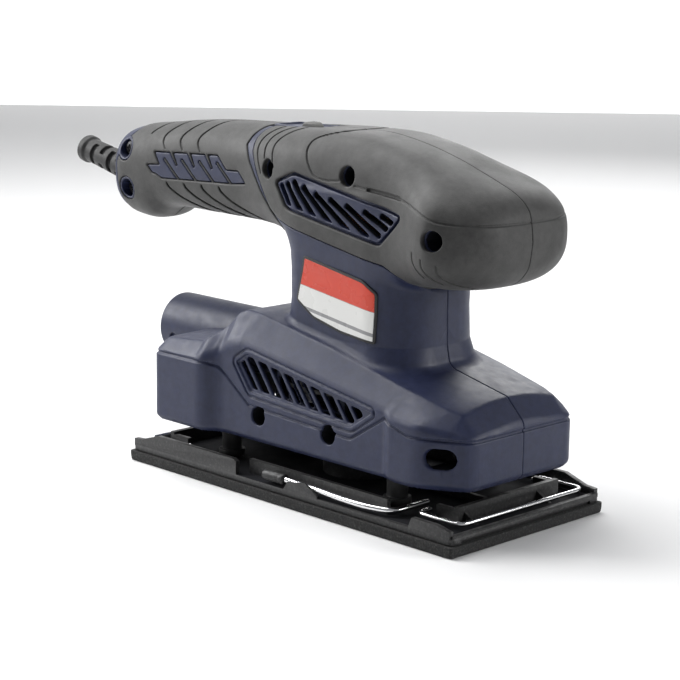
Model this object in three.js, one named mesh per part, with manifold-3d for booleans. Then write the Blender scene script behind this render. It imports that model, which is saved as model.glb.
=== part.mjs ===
// Orbital finishing sander with a third-sheet pad, a rear handle and a palm knob.
// Millimetres. +X is the palm-knob end, +Z is up, and the origin is the centre of the sanding face.

import * as THREE from 'three';
import { mergeVertices } from 'three/addons/utils/BufferGeometryUtils.js';
import { LoftGeometry } from 'three/addons/geometries/LoftGeometry.js';
import Module from 'manifold-3d';

const library = await Module();
library.setup();

// ---------------------------------------------------------------- driving dimensions

const GAP = 0.3;                        // running or seating gap between touching pieces
const SPLIT = GAP / 2;                  // each casing half stops this far from the middle plane
const WALL = 2.4;                       // casing wall
const RUBBER = 2.4;                     // depth of the step that holds the rubber grips
const GRIP = 1.8;                       // thickness of the grips themselves
const FAR = 400;                        // longer than anything on the machine

const PAD = { halfX: 93.5, halfY: 45, thickness: 4.2, corner: 2.5 };
const TRAY = { halfX: 92.2, halfY: 43.7, corner: 2, floorTop: 7, wall: 2.2, ledgeTop: 8 };
const UNDERCUT = { depth: 1, height: 1.2, halfY: 38 };    // the finger gap under each end of the tray
const BASE = { rear: -79, front: 88.7, bottom: 20 };
const MOTOR_X = 1.7;                    // the motor stands upright on this axis
const ECCENTRICITY = 1;                 // the pad orbits on a circle of twice this
const SIDE_WALL_Y = 38.6;               // the flat flank that the lower vent is cut in
const HEAD_WALL_Y = 28;                 // the flat flank that the upper vent is cut in

// Cross sections of the handle and head from the rear: [x, half width, top, bottom, squareness]
const BODY_RIBS = [
  [-138, 16.5, 135.8, 103.0, 2.5],
  [-134, 18.4, 138.0, 100.2, 2.6],
  [-124, 19.0, 139.6, 98.8, 2.7],
  [-112, 19.0, 141.4, 103.0, 2.7],
  [-80, 19.4, 144.6, 105.0, 2.7],
  [-50, 20.5, 145.8, 105.0, 2.8],
  [-34, 24.0, 146.5, 104.5, 3.0],
  [-19, 27.2, 147.2, 101.8, 3.2],
  [-7, 28.0, 147.4, 92.0, 4.0],
  [20, 28.0, 147.1, 90.0, 4.2],
  [43, 28.6, 142.6, 91.0, 4.0],
  [56, 32.8, 138.6, 92.4, 3.3],
  [70, 38.0, 133.9, 92.9, 2.7],
  [79, 36.0, 130.8, 94.0, 2.6],
  [86, 29.0, 126.2, 97.4, 2.4],
  [90, 15.0, 118.0, 104.0, 2.2],
];

// Cross sections of the neck from the bottom: [z, rear x, front x, half width]
const NECK_RIBS = [
  [44, -30, 56, 33],
  [60, -24, 50.5, 28],
  [67, -21, 49, 26.2],
  [92, -20, 48.6, 26],
  [101, -20, 49, 27],
  [112, -19, 49, 27.6],
];
const NECK_SQUARENESS = 4.5;

// Cross sections of the base from the rear: [x, half width, wall top, ridge y, ridge z, middle z]
const BASE_RIBS = [
  [-79, 41.5, 48, 36, 52, 53],
  [-76, 43.5, 50, 37, 56, 57],
  [-52, 43.5, 50.5, 37, 57.5, 59],
  [-45, 43.2, 53, 35, 62.5, 65],
  [-40, 38.8, 57, 32, 68.5, 70],
  [-34, 38.6, 60, 30, 72, 72.6],
  [-26, 38.6, 60, 30, 71.7, 72.6],
  [14, 38.6, 54, 30, 64, 66],
  [52, 38.6, 48, 30, 55, 58.3],
  [56, 40, 47, 30, 54, 57.2],
  [70, 40, 44.5, 30, 51, 54.2],
  [80, 35, 43, 28, 49.2, 51.7],
  [88.7, 30, 41, 25, 43, 43.8],
];

// Side-view outlines of the grips, the vents and the label
const HEAD_GRIP = [
  [-52, 160], [-34, 118.5], [-19, 110], [-5, 107.6], [26, 101.6], [39, 99.6], [49, 95], [49, 80],
  [120, 80], [120, 160],
];
const REAR_GRIP = [[-120.4, 160], [-115.6, 80], [-50, 80], [-41, 117], [-59, 160]];
const UPPER_VENT = [[-20, 126], [-10, 129.4], [49, 120], [36.6, 108.4], [-11.7, 117.3]];
const LOWER_VENT = [[-33, 52.5], [-25.5, 57.5], [49, 46], [35.5, 36.3], [-23.5, 38]];
const LABEL = [[-5, 98], [-10, 79.5], [0, 73], [16, 69], [34, 68], [34, 88.5], [28.4, 91.6]];

// Screws that pull the casing halves together: [name, x, z, depth of the head below the outline]
const CASING_SCREWS = [
  ['handle_screw_upper', -129, 129.3, 6],
  ['handle_screw_lower', -127, 112.3, 6],
  ['collar_screw', -28, 130.4, 9],
  ['head_screw', 19.5, 132, 9],
  ['palm_screw', 72, 114, 12],
  ['flank_screw_rear', -18.4, 32, 14],
  ['flank_screw_front', 21.8, 32, 14],
  ['nose_screw', 78, 33, 14],
];
const SCREW = { head: 3.3, headHeight: 2.4, shank: 1.5, recess: 3.9, boss: 5.3, reach: 9 };

const LEG = { x: 48, y: 26, radius: 5.6, bottom: 8, top: 29.7 };
const DUST = { z: 51.6, radius: 14, bore: 11.6, rear: -110, inner: -56 };
const BOOT = { x: -138, z: 115.5, length: 42, tilt: 12, neck: 5.8, collar: 7.3, bore: 3.4 };
const BOOT_RIBS = { count: 5, pitch: 6.7, root: 6.4, taper: 0.25, groove: 1.2 };
const BOOT_LIP = { radius: 6.3, length: 3.6, waist: 4.6 };
const SWITCH = { rear: -44, front: -14.8, half: 8.2, bottom: 142.2, top: 146.4 };
const SLOT = { rear: -38.5, front: -16.8, half: 3.6 };    // the opening the thumb knob slides in
const KNOB = { rear: -32, front: -24, half: 3.1, top: 147.8, flange: 1.5, flangeHalf: 5.8 };
const SWITCH_BODY = { rear: -58, front: -34.2, half: 7, bottom: 126, top: 139 };
const CAPACITOR = { rear: -84, front: -66, half: 7.5, bottom: 113, top: 129 };
const CLAMP_BAR = { x: -114.5, halfX: 3, halfY: 9, bottom: 117, top: 122.4, screwY: 6.6 };

// Motor, from the bottom of its shaft: heights of each part on the upright axis
const SHAFT = { radius: 4, bottom: 24, top: 123.4 };
const FIELD = { bottom: 72, top: 100, halfX: 17.2, halfY: 21.4, corner: 15, room: 16, bore: 12.4 };
const ARMATURE = { radius: 11.9, bottom: 72, top: 100 };
const COMMUTATOR = { radius: 10, bottom: 104.6, top: 114.6 };
const BRUSH_HALF = 3;
const UPPER_BEARING = { radius: 8, bottom: 117, top: 122.4 };
const LOWER_BEARING = { radius: 12, bottom: 60, top: 67.2 };
const FAN = { radius: 31, hub: 10, bottom: 44.4, disc: 46, top: 56.5, blades: 11 };
const COUNTERWEIGHT = { radius: 25, bottom: 38.4, top: 44 };
const ECCENTRIC = { hub: 8, pin: 6, bottom: 10, shoulder: 22, top: 38 };
const PAD_BEARING = { radius: 13, bottom: 9.6, top: 18.6 };

// Wire clamps: radii, then where each axle lies
const WIRE = { lever: 1.2, bail: 0.9, leverX: 58.3, leverZ: 9.4, bailX: 66, bailZ: 9.6 };
const SLEEVE = { radius: 2.2, rear: -10.7, front: 1.8, y: -42, z: 10.4 };

// ---------------------------------------------------------------- geometry helpers

/** Turns a closed geometry into a solid that can be joined and cut. */
function solid(geometry) {
  const bare = new THREE.BufferGeometry().copy(geometry);
  bare.deleteAttribute('normal');
  bare.deleteAttribute('uv');
  const merged = mergeVertices(bare, 1e-4);
  const corners = merged.index.array;
  const kept = [];
  for (let i = 0; i < corners.length; i += 3) {
    const [a, b, c] = [corners[i], corners[i + 1], corners[i + 2]];
    if (a !== b && b !== c && c !== a) kept.push(a, b, c);
  }
  return new library.Manifold(new library.Mesh({
    numProp: 3,
    vertProperties: new Float32Array(merged.attributes.position.array),
    triVerts: new Uint32Array(kept),
  }));
}

/** Turns a solid back into a geometry. */
function geometryOf(body) {
  const mesh = body.getMesh();
  const geometry = new THREE.BufferGeometry();
  geometry.setAttribute('position', new THREE.Float32BufferAttribute(mesh.vertProperties, 3));
  geometry.setIndex(new THREE.Uint32BufferAttribute(mesh.triVerts, 1));
  return geometry;
}

/** A box between two corners. */
function box([x0, y0, z0], [x1, y1, z1]) {
  const geometry = new THREE.BoxGeometry(x1 - x0, y1 - y0, z1 - z0);
  geometry.translate((x0 + x1) / 2, (y0 + y1) / 2, (z0 + z1) / 2);
  return solid(geometry);
}

/** A block centred on the middle plane. */
function blockOf({ rear, front, half, bottom, top }) {
  return box([rear, -half, bottom], [front, half, top]);
}

/** A round bar along z. */
function rodZ(x, y, radius, z0, z1, sides = 24) {
  const geometry = new THREE.CylinderGeometry(radius, radius, z1 - z0, sides);
  geometry.rotateX(Math.PI / 2).translate(x, y, (z0 + z1) / 2);
  return solid(geometry);
}

/** A round bar along y. */
function rodY(x, z, radius, y0, y1, sides = 16) {
  const geometry = new THREE.CylinderGeometry(radius, radius, y1 - y0, sides);
  geometry.translate(x, (y0 + y1) / 2, z);
  return solid(geometry);
}

/** A round bar along x. */
function rodX(y, z, radius, x0, x1, sides = 24) {
  const geometry = new THREE.CylinderGeometry(radius, radius, x1 - x0, sides);
  geometry.rotateZ(Math.PI / 2).translate((x0 + x1) / 2, y, z);
  return solid(geometry);
}

/** A shape through the given corner points. */
function polygon(points) {
  return new THREE.Shape(points.map(([a, b]) => new THREE.Vector2(a, b)));
}

/** A rectangle with round corners, centred on (x, y). */
function roundedRectangle(x, y, halfX, halfY, radius) {
  const shape = new THREE.Shape();
  shape.absarc(x + halfX - radius, y + halfY - radius, radius, 0, Math.PI / 2);
  shape.absarc(x - halfX + radius, y + halfY - radius, radius, Math.PI / 2, Math.PI);
  shape.absarc(x - halfX + radius, y - halfY + radius, radius, Math.PI, 1.5 * Math.PI);
  shape.absarc(x + halfX - radius, y - halfY + radius, radius, 1.5 * Math.PI, 2 * Math.PI);
  return shape;
}

/** A slab of a plan-view shape between two heights, with its edges cut back by bevel. */
function slabZ(shape, z0, z1, { bevel = 0, grow = 0, curve = 3 } = {}) {
  const geometry = new THREE.ExtrudeGeometry(shape, {
    depth: z1 - z0 - 2 * bevel,
    curveSegments: curve,
    bevelEnabled: bevel > 0 || grow !== 0,
    bevelSegments: 1,
    bevelThickness: bevel,
    bevelSize: bevel,
    bevelOffset: grow - bevel,
  });
  geometry.translate(0, 0, z0 + bevel);
  return solid(geometry);
}

/** A slab of a side-view shape between two values of y. */
function slabY(shape, y0, y1, options = {}) {
  return slabZ(shape, 0, y1 - y0, options).rotate([90, 0, 0]).translate([0, y1, 0]);
}

/** Skins closed rings of points. Each ring runs the same way round. */
function skin(rings) {
  let body = solid(new LoftGeometry(rings, { capStart: true, capEnd: true }));
  if (body.volume() < 0) {
    const turnedBack = rings.map((ring) => [...ring].reverse());
    body = solid(new LoftGeometry(turnedBack, { capStart: true, capEnd: true }));
  }
  return body;
}

/** A point of a superellipse with half axes a and b. */
function superellipse(angle, a, b, squareness) {
  const power = 2 / squareness;
  const across = Math.cos(angle);
  const up = Math.sin(angle);
  return [a * Math.sign(across) * Math.abs(across) ** power, b * Math.sign(up) * Math.abs(up) ** power];
}

/** The handle and head as one form, pulled in everywhere by inset. */
function upperForm(inset) {
  const sides = inset > RUBBER ? 12 : 20;
  const last = BODY_RIBS.length - 1;
  const rings = BODY_RIBS.map(([x, half, top, bottom, squareness], place) => {
    const along = x + (place <= 1 ? inset : 0) - (place >= last - 2 ? inset : 0);
    const a = half - inset;
    const b = (top - bottom) / 2 - inset;
    return Array.from({ length: sides }, (_, i) => {
      const [y, z] = superellipse((i + 0.5) / sides * 2 * Math.PI, a, b, squareness);
      return new THREE.Vector3(along, y, z + (top + bottom) / 2);
    });
  });
  return skin(rings);
}

/** The neck between base and head, pulled in by inset. */
function neckForm(inset) {
  const sides = 20;
  const rings = NECK_RIBS.map(([z, rear, front, half]) => {
    return Array.from({ length: sides }, (_, i) => {
      const angle = (i + 0.5) / sides * 2 * Math.PI;
      const [x, y] = superellipse(angle, (front - rear) / 2 - inset, half - inset, NECK_SQUARENESS);
      return new THREE.Vector3(x + (rear + front) / 2, y, z);
    });
  });
  return skin(rings);
}

/** The wedge-shaped base, pulled in by inset, down to the given bottom. */
function baseForm(inset, bottom) {
  const foot = inset > 0 ? 0.01 : 2.5;
  const last = BASE_RIBS.length - 1;
  const rings = BASE_RIBS.map(([x, half, wallTop, ridgeY, ridgeZ, middleZ], place) => {
    const along = x + (place <= 1 ? inset : 0) - (place === last ? inset : 0);
    const right = [
      [half - foot - inset, bottom],
      [half - inset, bottom + foot],
      [half - inset, wallTop - inset / 2],
      [ridgeY - inset / 2, ridgeZ - inset],
      [ridgeY / 2, (ridgeZ + middleZ) / 2 - inset],
    ];
    const left = right.map(([y, z]) => [-y, z]).reverse();
    return [...right, [0, middleZ - inset], ...left].map(([y, z]) => new THREE.Vector3(along, y, z));
  });
  return skin(rings);
}

const LEFT_SIDE = box([-FAR, -FAR, -FAR], [FAR, -SPLIT, FAR]);

/** The same solid on the other side of the middle plane. */
function mirrored(body) {
  return body.mirror([0, 1, 0]);
}

/** The same solid turned half round about z, for the other end of the pad. */
function turned(body) {
  return body.rotate([0, 0, 180]);
}

const machine = new THREE.Group();

/** The largest connected part of a solid, without slivers left by a cut. */
function largest(body) {
  const sliver = 0.01;
  const parts = body.asOriginal().simplify(sliver).decompose();
  return parts.reduce((best, next) => (next.volume() > best.volume() ? next : best));
}

/** Adds one named piece. */
function piece(name, body, color, roughness = 0.6, metalness = 0) {
  const material = new THREE.MeshStandardMaterial({ color, roughness, metalness });
  const mesh = new THREE.Mesh(geometryOf(largest(body)), material);
  mesh.name = name;
  machine.add(mesh);
}

const NAVY = 0x2b3048;
const GREY_RUBBER = 0x3a3a3d;
const BLACK = 0x1b1b1d;
const STEEL = 0xc8c8cc;
const DARK_STEEL = 0x6f7278;
const COPPER = 0xb06a3a;
const BRASS = 0xb9973f;

// ---------------------------------------------------------------- casing and grips

/** A vent's slanted slots as one cutter through the left flank. */
function ventSlots(outline, count, lean, wallY) {
  const rows = outline.map(([x]) => x);
  const start = Math.min(...rows);
  const pitch = (Math.max(...rows) - start) / (count + 1);
  const rim = slabY(polygon(outline), wallY - 12, wallY + 8, { grow: -2.4 });
  let slots = null;
  for (let i = 0; i < count; i += 1) {
    const x = start + pitch * (i + 0.7);
    const low = Math.min(...outline.map(([, z]) => z));
    const high = Math.max(...outline.map(([, z]) => z));
    const run = (high - low) * lean;
    const bar = slabY(polygon([
      [x + run / 2, low], [x + run / 2 + pitch * 0.62, low],
      [x - run / 2 + pitch * 0.62, high], [x - run / 2, high],
    ]), wallY - 12, wallY + 8);
    slots = slots ? slots.add(bar) : bar;
  }
  return slots.intersect(rim);
}

/** How far the casing's left side reaches at a screw. */
function flankAt(x, z) {
  if (z < 60) return x > 60 ? 37 : SIDE_WALL_Y;
  const after = BODY_RIBS.findIndex(([station]) => station > x);
  const [x0, half0] = BODY_RIBS[after - 1];
  const [x1, half1] = BODY_RIBS[after];
  return half0 + (half1 - half0) * (x - x0) / (x1 - x0);
}

const outerUpper = upperForm(0);
const coreUpper = upperForm(RUBBER);
const headZone = slabY(polygon(HEAD_GRIP), -FAR, FAR);
const headZoneWide = slabY(polygon(HEAD_GRIP), -FAR, FAR, { grow: GAP });
const rearZone = slabY(polygon(REAR_GRIP), -FAR, FAR);
const rearZoneWide = slabY(polygon(REAR_GRIP), -FAR, FAR, { grow: GAP });
const ventWindow = slabY(polygon(UPPER_VENT), -FAR, FAR);
const ventWindowWide = slabY(polygon(UPPER_VENT), -FAR, FAR, { grow: GAP });
const bezelSeat = box(
  [SWITCH.rear - GAP, -SWITCH.half - GAP, SWITCH_BODY.top],
  [SWITCH.front + GAP, SWITCH.half + GAP, FAR],
);

/** Everything the rubber takes away from the hard casing. */
function rubberRoom() {
  const head = headZoneWide.subtract(ventWindow);
  return outerUpper.add(neckForm(0)).subtract(coreUpper).intersect(head.add(rearZoneWide));
}

/** The recess over a casing screw's head, from outside the flank down to its seat. */
function screwRecess([, x, z, depth], radius) {
  const seat = -flankAt(x, z) + depth;
  return rodY(x, z, radius, -FAR, seat, 12);
}

/** Adds a boss for each casing screw, then drills it. */
function withScrewBosses(half, outside) {
  let body = half;
  for (const [, x, z] of CASING_SCREWS) {
    const boss = rodY(x, z, SCREW.boss, -FAR, -SPLIT, 10).intersect(outside);
    body = body.add(boss);
  }
  for (const screw of CASING_SCREWS) {
    const [, x, z] = screw;
    body = body.subtract(screwRecess(screw, SCREW.recess));
    body = body.subtract(rodY(x, z, SCREW.shank + GAP, -FAR, FAR, 8));
  }
  return body;
}

const LEG_PLACES = [[LEG.x, -LEG.y], [LEG.x, LEG.y], [-LEG.x, -LEG.y], [-LEG.x, LEG.y]];

/** The hollow casing before it is split, with its ribs and openings. */
function casing() {
  const dustSleeve = rodX(0, DUST.z, DUST.radius + 2.4, BASE.rear + 2, -36, 24);
  const outside = outerUpper.add(neckForm(0)).add(baseForm(0, BASE.bottom)).add(dustSleeve);
  const inside = upperForm(RUBBER + WALL)
    .add(neckForm(WALL))
    .add(baseForm(WALL, -10))
    .intersect(box([BASE.rear + WALL, -FAR, -FAR], [BASE.front - WALL, FAR, FAR])
      .add(box([-133, -FAR, 90], [FAR, FAR, FAR])));
  const room = rubberRoom();
  let body = outside.subtract(room).subtract(inside);
  const bearingRibs = [LOWER_BEARING, UPPER_BEARING].map(({ radius, bottom, top }) => {
    return [bottom - 0.6, top + 0.4, radius + GAP];
  });
  for (const [low, high, seat] of bearingRibs) {
    const rib = box([MOTOR_X - seat - 4, -FAR, low], [MOTOR_X + seat + 4, FAR, high]).intersect(inside);
    body = body.add(rib.subtract(rodZ(MOTOR_X, 0, seat, low - 1, high + 1)));
  }
  for (const [x, y] of LEG_PLACES) {
    const post = rodZ(x, y, LEG.radius + 2.6, BASE.bottom, 36, 16);
    const wallY = Math.sign(y) * PAD.halfY;
    const web = box([x - 1.5, Math.min(y, wallY), 22], [x + 1.5, Math.max(y, wallY), 36]);
    const socket = rodZ(x, y, LEG.radius + GAP, 0, LEG.top + GAP, 16);
    body = body.add(post.add(web).intersect(outside)).subtract(socket);
  }
  const pedestal = box(
    [CLAMP_BAR.x - CLAMP_BAR.halfX, -FAR, 90],
    [CLAMP_BAR.x + CLAMP_BAR.halfX, FAR, CLAMP_BAR.bottom - GAP],
  ).intersect(inside);
  body = body.add(pedestal);
  for (const y of [-CLAMP_BAR.screwY, CLAMP_BAR.screwY]) {
    body = body.subtract(rodZ(CLAMP_BAR.x, y, 1.7, 109, 130, 12));
  }
  return { body, outside: outside.subtract(room) };
}


const { body: wholeCasing, outside: casingOutline } = casing();

/** The openings shared by both halves: boot, switch, dust port. */
const sharedOpenings = rodX(0, BOOT.z, BOOT.neck + GAP, -FAR, -130, 20)
  .add(rodX(0, BOOT.z, BOOT.collar + GAP, BOOT.x + 1.6, BOOT.x + 3.4, 20))
  .add(bezelSeat)
  .add(rodX(0, DUST.z, DUST.radius + GAP, -FAR, DUST.inner + GAP, 24));

const leftRaw = wholeCasing.intersect(LEFT_SIDE).subtract(sharedOpenings);
const leftShell = withScrewBosses(leftRaw, casingOutline.intersect(LEFT_SIDE).subtract(sharedOpenings))
  .subtract(ventSlots(UPPER_VENT, 8, 0.55, -HEAD_WALL_Y))
  .subtract(ventSlots(LOWER_VENT, 10, 0.55, -SIDE_WALL_Y));
piece('housing_left', leftShell, NAVY, 0.5);
piece('housing_right', mirrored(leftShell), NAVY, 0.5);

const gripSkin = outerUpper.subtract(upperForm(GRIP));

/** One half of the rubber over the head. */
function headGrip() {
  let body = gripSkin.intersect(headZone).intersect(LEFT_SIDE);
  body = body.subtract(ventWindowWide).subtract(bezelSeat);
  for (const [, x, z] of CASING_SCREWS) body = body.subtract(rodY(x, z, SCREW.recess, -FAR, 0, 12));
  return body;
}

/** One half of the rubber sleeve on the handle. */
function rearGrip() {
  return gripSkin.intersect(rearZone).intersect(LEFT_SIDE);
}

piece('head_grip_left', headGrip(), GREY_RUBBER, 0.9);
piece('head_grip_right', mirrored(headGrip()), GREY_RUBBER, 0.9);
piece('rear_grip_left', rearGrip(), GREY_RUBBER, 0.9);
piece('rear_grip_right', mirrored(rearGrip()), GREY_RUBBER, 0.9);

// ---------------------------------------------------------------- label, switch, boot, dust port

/** A thin plate lying in the neck's flat flank. */
function sideLabel() {
  const plate = slabY(polygon(LABEL), -FAR, FAR);
  return neckForm(-0.6).subtract(neckForm(-GAP / 2)).intersect(plate).intersect(LEFT_SIDE)
    .intersect(box([-FAR, -FAR, -FAR], [FAR, -20, FAR]));
}

/** The frame round the switch's slot. */
function switchBezel() {
  const { bottom, top } = SWITCH;
  const plate = blockOf(SWITCH);
  const slot = box([SLOT.rear, -SLOT.half, bottom - 1], [SLOT.front, SLOT.half, top + 1]);
  const track = box(
    [SLOT.rear - 2.5, -KNOB.flangeHalf - GAP, bottom - 1],
    [SLOT.front + 0.6, KNOB.flangeHalf + GAP, bottom + KNOB.flange + GAP],
  );
  return plate.subtract(slot).subtract(track);
}

/** The sliding thumb knob with the flange that keeps it in its track. */
function switchKnob() {
  const { rear, front, half, top, flange, flangeHalf } = KNOB;
  const low = SWITCH.bottom;
  const bevel = 1;
  const cap = slabY(polygon([
    [rear, low + 0.5], [front, low + 0.5], [front, top - bevel], [front - bevel, top],
    [rear + bevel, top], [rear, top - bevel],
  ]), -half, half);
  return cap.add(box([rear - 1.5, -flangeHalf, low + 0.2], [front + 1.5, flangeHalf, low + flange]));
}

/** The ribbed sleeve that guards the cable, its neck level in the handle and its sleeve tilted up. */
function strainReliefBoot() {
  const { x, z, length, tilt, neck, collar, bore } = BOOT;
  const { count, pitch, root, taper, groove } = BOOT_RIBS;
  const lip = BOOT_LIP;
  const profile = [
    [0, -length], [lip.radius, -length], [lip.radius, 1.8 - length], [lip.waist, lip.length - length],
  ];
  for (let i = count - 1; i >= 0; i -= 1) {
    const start = -1.4 - i * pitch;
    const radius = root - i * taper;
    const valley = start - pitch + 1.6;
    profile.push([radius - groove, valley], [radius - 0.4, valley], [radius, start]);
  }
  profile.push([0, -1.4]);
  const outline = profile.map(([r, y]) => new THREE.Vector2(r, y));
  const sleeve = solid(new THREE.LatheGeometry(outline, 12).rotateZ(-Math.PI / 2));
  const level = rodX(0, 0, neck, -2.4, 4.9, 16).add(rodX(0, 0, collar, 1.7, 3.3, 16));
  return level.add(sleeve.rotate([0, tilt, 0]))
    .subtract(rodX(0, 0, bore, 0, FAR, 12))
    .subtract(rodX(0, 0, bore, -FAR, 2, 12).rotate([0, tilt, 0]))
    .translate([x, 0, z]);
}

piece('neck_label', sideLabel(), 0xd8d8d8, 0.35);
piece('rating_label', mirrored(sideLabel()), 0xb8b8bc, 0.35);
piece('switch_bezel', switchBezel(), NAVY, 0.45);
piece('switch_knob', switchKnob(), GREY_RUBBER, 0.5);
piece('switch_body', blockOf(SWITCH_BODY), BLACK, 0.5);
piece('strain_relief_boot', strainReliefBoot(), BLACK, 0.85);

/** The round tube that a dust bag plugs on to. */
function dustPort() {
  const tube = rodX(0, DUST.z, DUST.radius, DUST.rear, DUST.inner, 24);
  const latch = rodY(DUST.rear + 9, DUST.z - 4, 2.6, -FAR, 0, 12);
  return tube.subtract(rodX(0, DUST.z, DUST.bore, -FAR, FAR, 24)).subtract(latch);
}
piece('dust_port', dustPort(), NAVY, 0.5);

// ---------------------------------------------------------------- handle fittings

/** The bar that holds the cable down, with a half-round groove under it. */
function cableClamp() {
  const { x, halfX, halfY, bottom, top, screwY } = CLAMP_BAR;
  let bar = box([x - halfX, -halfY, bottom], [x + halfX, halfY, top]);
  bar = bar.subtract(rodX(0, bottom, 3.3, -FAR, FAR, 16));
  for (const y of [-screwY, screwY]) bar = bar.subtract(rodZ(x, y, 1.7, 90, 140, 12));
  return bar;
}
piece('cable_clamp', cableClamp(), BLACK, 0.6);
for (const [name, y] of [['left', -CLAMP_BAR.screwY], ['right', CLAMP_BAR.screwY]]) {
  const shank = rodZ(CLAMP_BAR.x, y, 1.4, 110, CLAMP_BAR.top + 1, 10);
  const head = rodZ(CLAMP_BAR.x, y, 2.2, CLAMP_BAR.top + GAP, CLAMP_BAR.top + 2, 12);
  piece(`cable_clamp_screw_${name}`, shank.add(head), STEEL, 0.3, 1);
}
piece('capacitor', blockOf(CAPACITOR), 0xc9b23a, 0.4);

/** A casing screw: its head sits on the left boss and its shank reaches into the right one. */
function casingScrew(x, z, depth) {
  const seat = -flankAt(x, z) + depth;
  const head = rodY(x, z, SCREW.head, seat - GAP - SCREW.headHeight, seat - GAP, 14);
  return head.add(rodY(x, z, SCREW.shank, seat - 1, SCREW.reach, 8));
}
for (const [name, x, z, depth] of CASING_SCREWS) piece(name, casingScrew(x, z, depth), DARK_STEEL, 0.35, 1);

for (const [index, [x, y]] of LEG_PLACES.entries()) {
  const foot = rodZ(x, y, LEG.radius, LEG.bottom, LEG.bottom + 3, 16);
  const waist = rodZ(x, y, LEG.radius - 1.4, LEG.bottom, LEG.top, 16);
  const plug = rodZ(x, y, LEG.radius, BASE.bottom - 1, LEG.top, 16);
  piece(`rubber_leg_${index + 1}`, foot.add(waist).add(plug), BLACK, 0.9);
}

// ---------------------------------------------------------------- motor

/** A wedge of a cylinder between two radii, centred on a bearing angle, cut by straight sides. */
function sector(inner, outer, middle, halfAngle, z0, z1) {
  const shape = new THREE.Shape();
  shape.absarc(0, 0, outer, middle - halfAngle, middle + halfAngle, false);
  shape.absarc(0, 0, inner, middle + halfAngle, middle - halfAngle, true);
  return slabZ(shape, z0, z1, { curve: 8 }).translate([MOTOR_X, 0, 0]);
}

const POLE_HALF_ANGLE = THREE.MathUtils.degToRad(38);
const COIL_HALF_ANGLE = THREE.MathUtils.degToRad(58);

/** The laminated stack that carries the field, with a pole at the front and one at the rear. */
function statorCore() {
  const { bottom, top, halfX, halfY, corner, room, bore } = FIELD;
  let core = slabZ(roundedRectangle(MOTOR_X, 0, halfX, halfY, corner), bottom, top, { curve: 4 });
  core = core.subtract(rodZ(MOTOR_X, 0, room, bottom - 1, top + 1, 32));
  for (const middle of [0, Math.PI]) {
    core = core.add(sector(bore, room + 0.3, middle, POLE_HALF_ANGLE, bottom, top));
  }
  return core;
}

/** The winding round one pole: a bent frame with the pole through its window. */
function fieldCoil(middle) {
  const inner = FIELD.bore + 0.5;
  const outer = FIELD.room - 0.7;
  const frame = sector(inner, outer, middle, COIL_HALF_ANGLE, FIELD.bottom - 3.8, FIELD.top + 3.8);
  const gap = 0.03;
  const window = sector(
    inner - 2, outer + 2, middle, POLE_HALF_ANGLE + gap, FIELD.bottom - GAP, FIELD.top + GAP,
  );
  return frame.subtract(window);
}

/** A ring on the motor's axis. */
function ring(outer, inner, z0, z1, sides = 24) {
  return rodZ(MOTOR_X, 0, outer, z0, z1, sides).subtract(rodZ(MOTOR_X, 0, inner, z0 - 1, z1 + 1, sides));
}

const BORE = SHAFT.radius + GAP;        // hole in everything that sits on the shaft

piece('stator_core', statorCore(), DARK_STEEL, 0.5, 1);
piece('field_coil_front', fieldCoil(0), COPPER, 0.4, 1);
piece('field_coil_rear', fieldCoil(Math.PI), COPPER, 0.4, 1);
for (const [name, { radius, bottom, top }] of [['upper', UPPER_BEARING], ['lower', LOWER_BEARING]]) {
  piece(`${name}_bearing`, ring(radius, BORE, bottom, top), STEEL, 0.25, 1);
}

/** A block at a brush's height between two distances from the motor's axis, to the front of it. */
function brushBlock(near, far, half) {
  const middle = (COMMUTATOR.bottom + COMMUTATOR.top) / 2;
  return box([near, -half, middle - half], [far, half, middle + half]);
}

/** The carbon brush that presses on the commutator. */
function carbonBrush() {
  return brushBlock(COMMUTATOR.radius + GAP, COMMUTATOR.radius + 7, BRUSH_HALF);
}

/** The square tube that the brush slides in. */
function brushHolder() {
  const near = COMMUTATOR.radius + 1.2;
  const far = COMMUTATOR.radius + 8;
  return brushBlock(near, far, BRUSH_HALF + 1.6).subtract(brushBlock(near - 1, far + 1, BRUSH_HALF + GAP));
}

for (const [name, place] of [['front', (body) => body], ['rear', turned]]) {
  piece(`brush_holder_${name}`, place(brushHolder()).translate([MOTOR_X, 0, 0]), BRASS, 0.4, 1);
  piece(`carbon_brush_${name}`, place(carbonBrush()).translate([MOTOR_X, 0, 0]), 0x2a2a2a, 0.7);
}

/** A sleeve that fills its own row of dimensions round the shaft. */
function onShaft({ radius, bottom, top }, sides) {
  return ring(radius, BORE, bottom, top, sides);
}

piece('rotor_shaft', rodZ(MOTOR_X, 0, SHAFT.radius, SHAFT.bottom, SHAFT.top, 24), STEEL, 0.25, 1);
piece('armature_core', onShaft(ARMATURE, 30), DARK_STEEL, 0.5, 1);
piece('commutator', onShaft(COMMUTATOR, 22), COPPER, 0.35, 1);

/** The suction fan: a disc with upright blades round a hub. */
function fan() {
  const { radius, hub, bottom, disc, top, blades } = FAN;
  let wheel = rodZ(MOTOR_X, 0, radius, bottom, disc, 32).add(rodZ(MOTOR_X, 0, hub, bottom, top, 20));
  for (let i = 0; i < blades; i += 1) {
    const blade = box([hub - 1, -0.8, disc - 0.5], [radius - 1, 0.8, top]);
    wheel = wheel.add(blade.rotate([0, 0, 360 * i / blades]).translate([MOTOR_X, 0, 0]));
  }
  return wheel.subtract(rodZ(MOTOR_X, 0, BORE, bottom - 1, top + 1));
}
piece('suction_fan', fan(), BLACK, 0.5);

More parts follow.
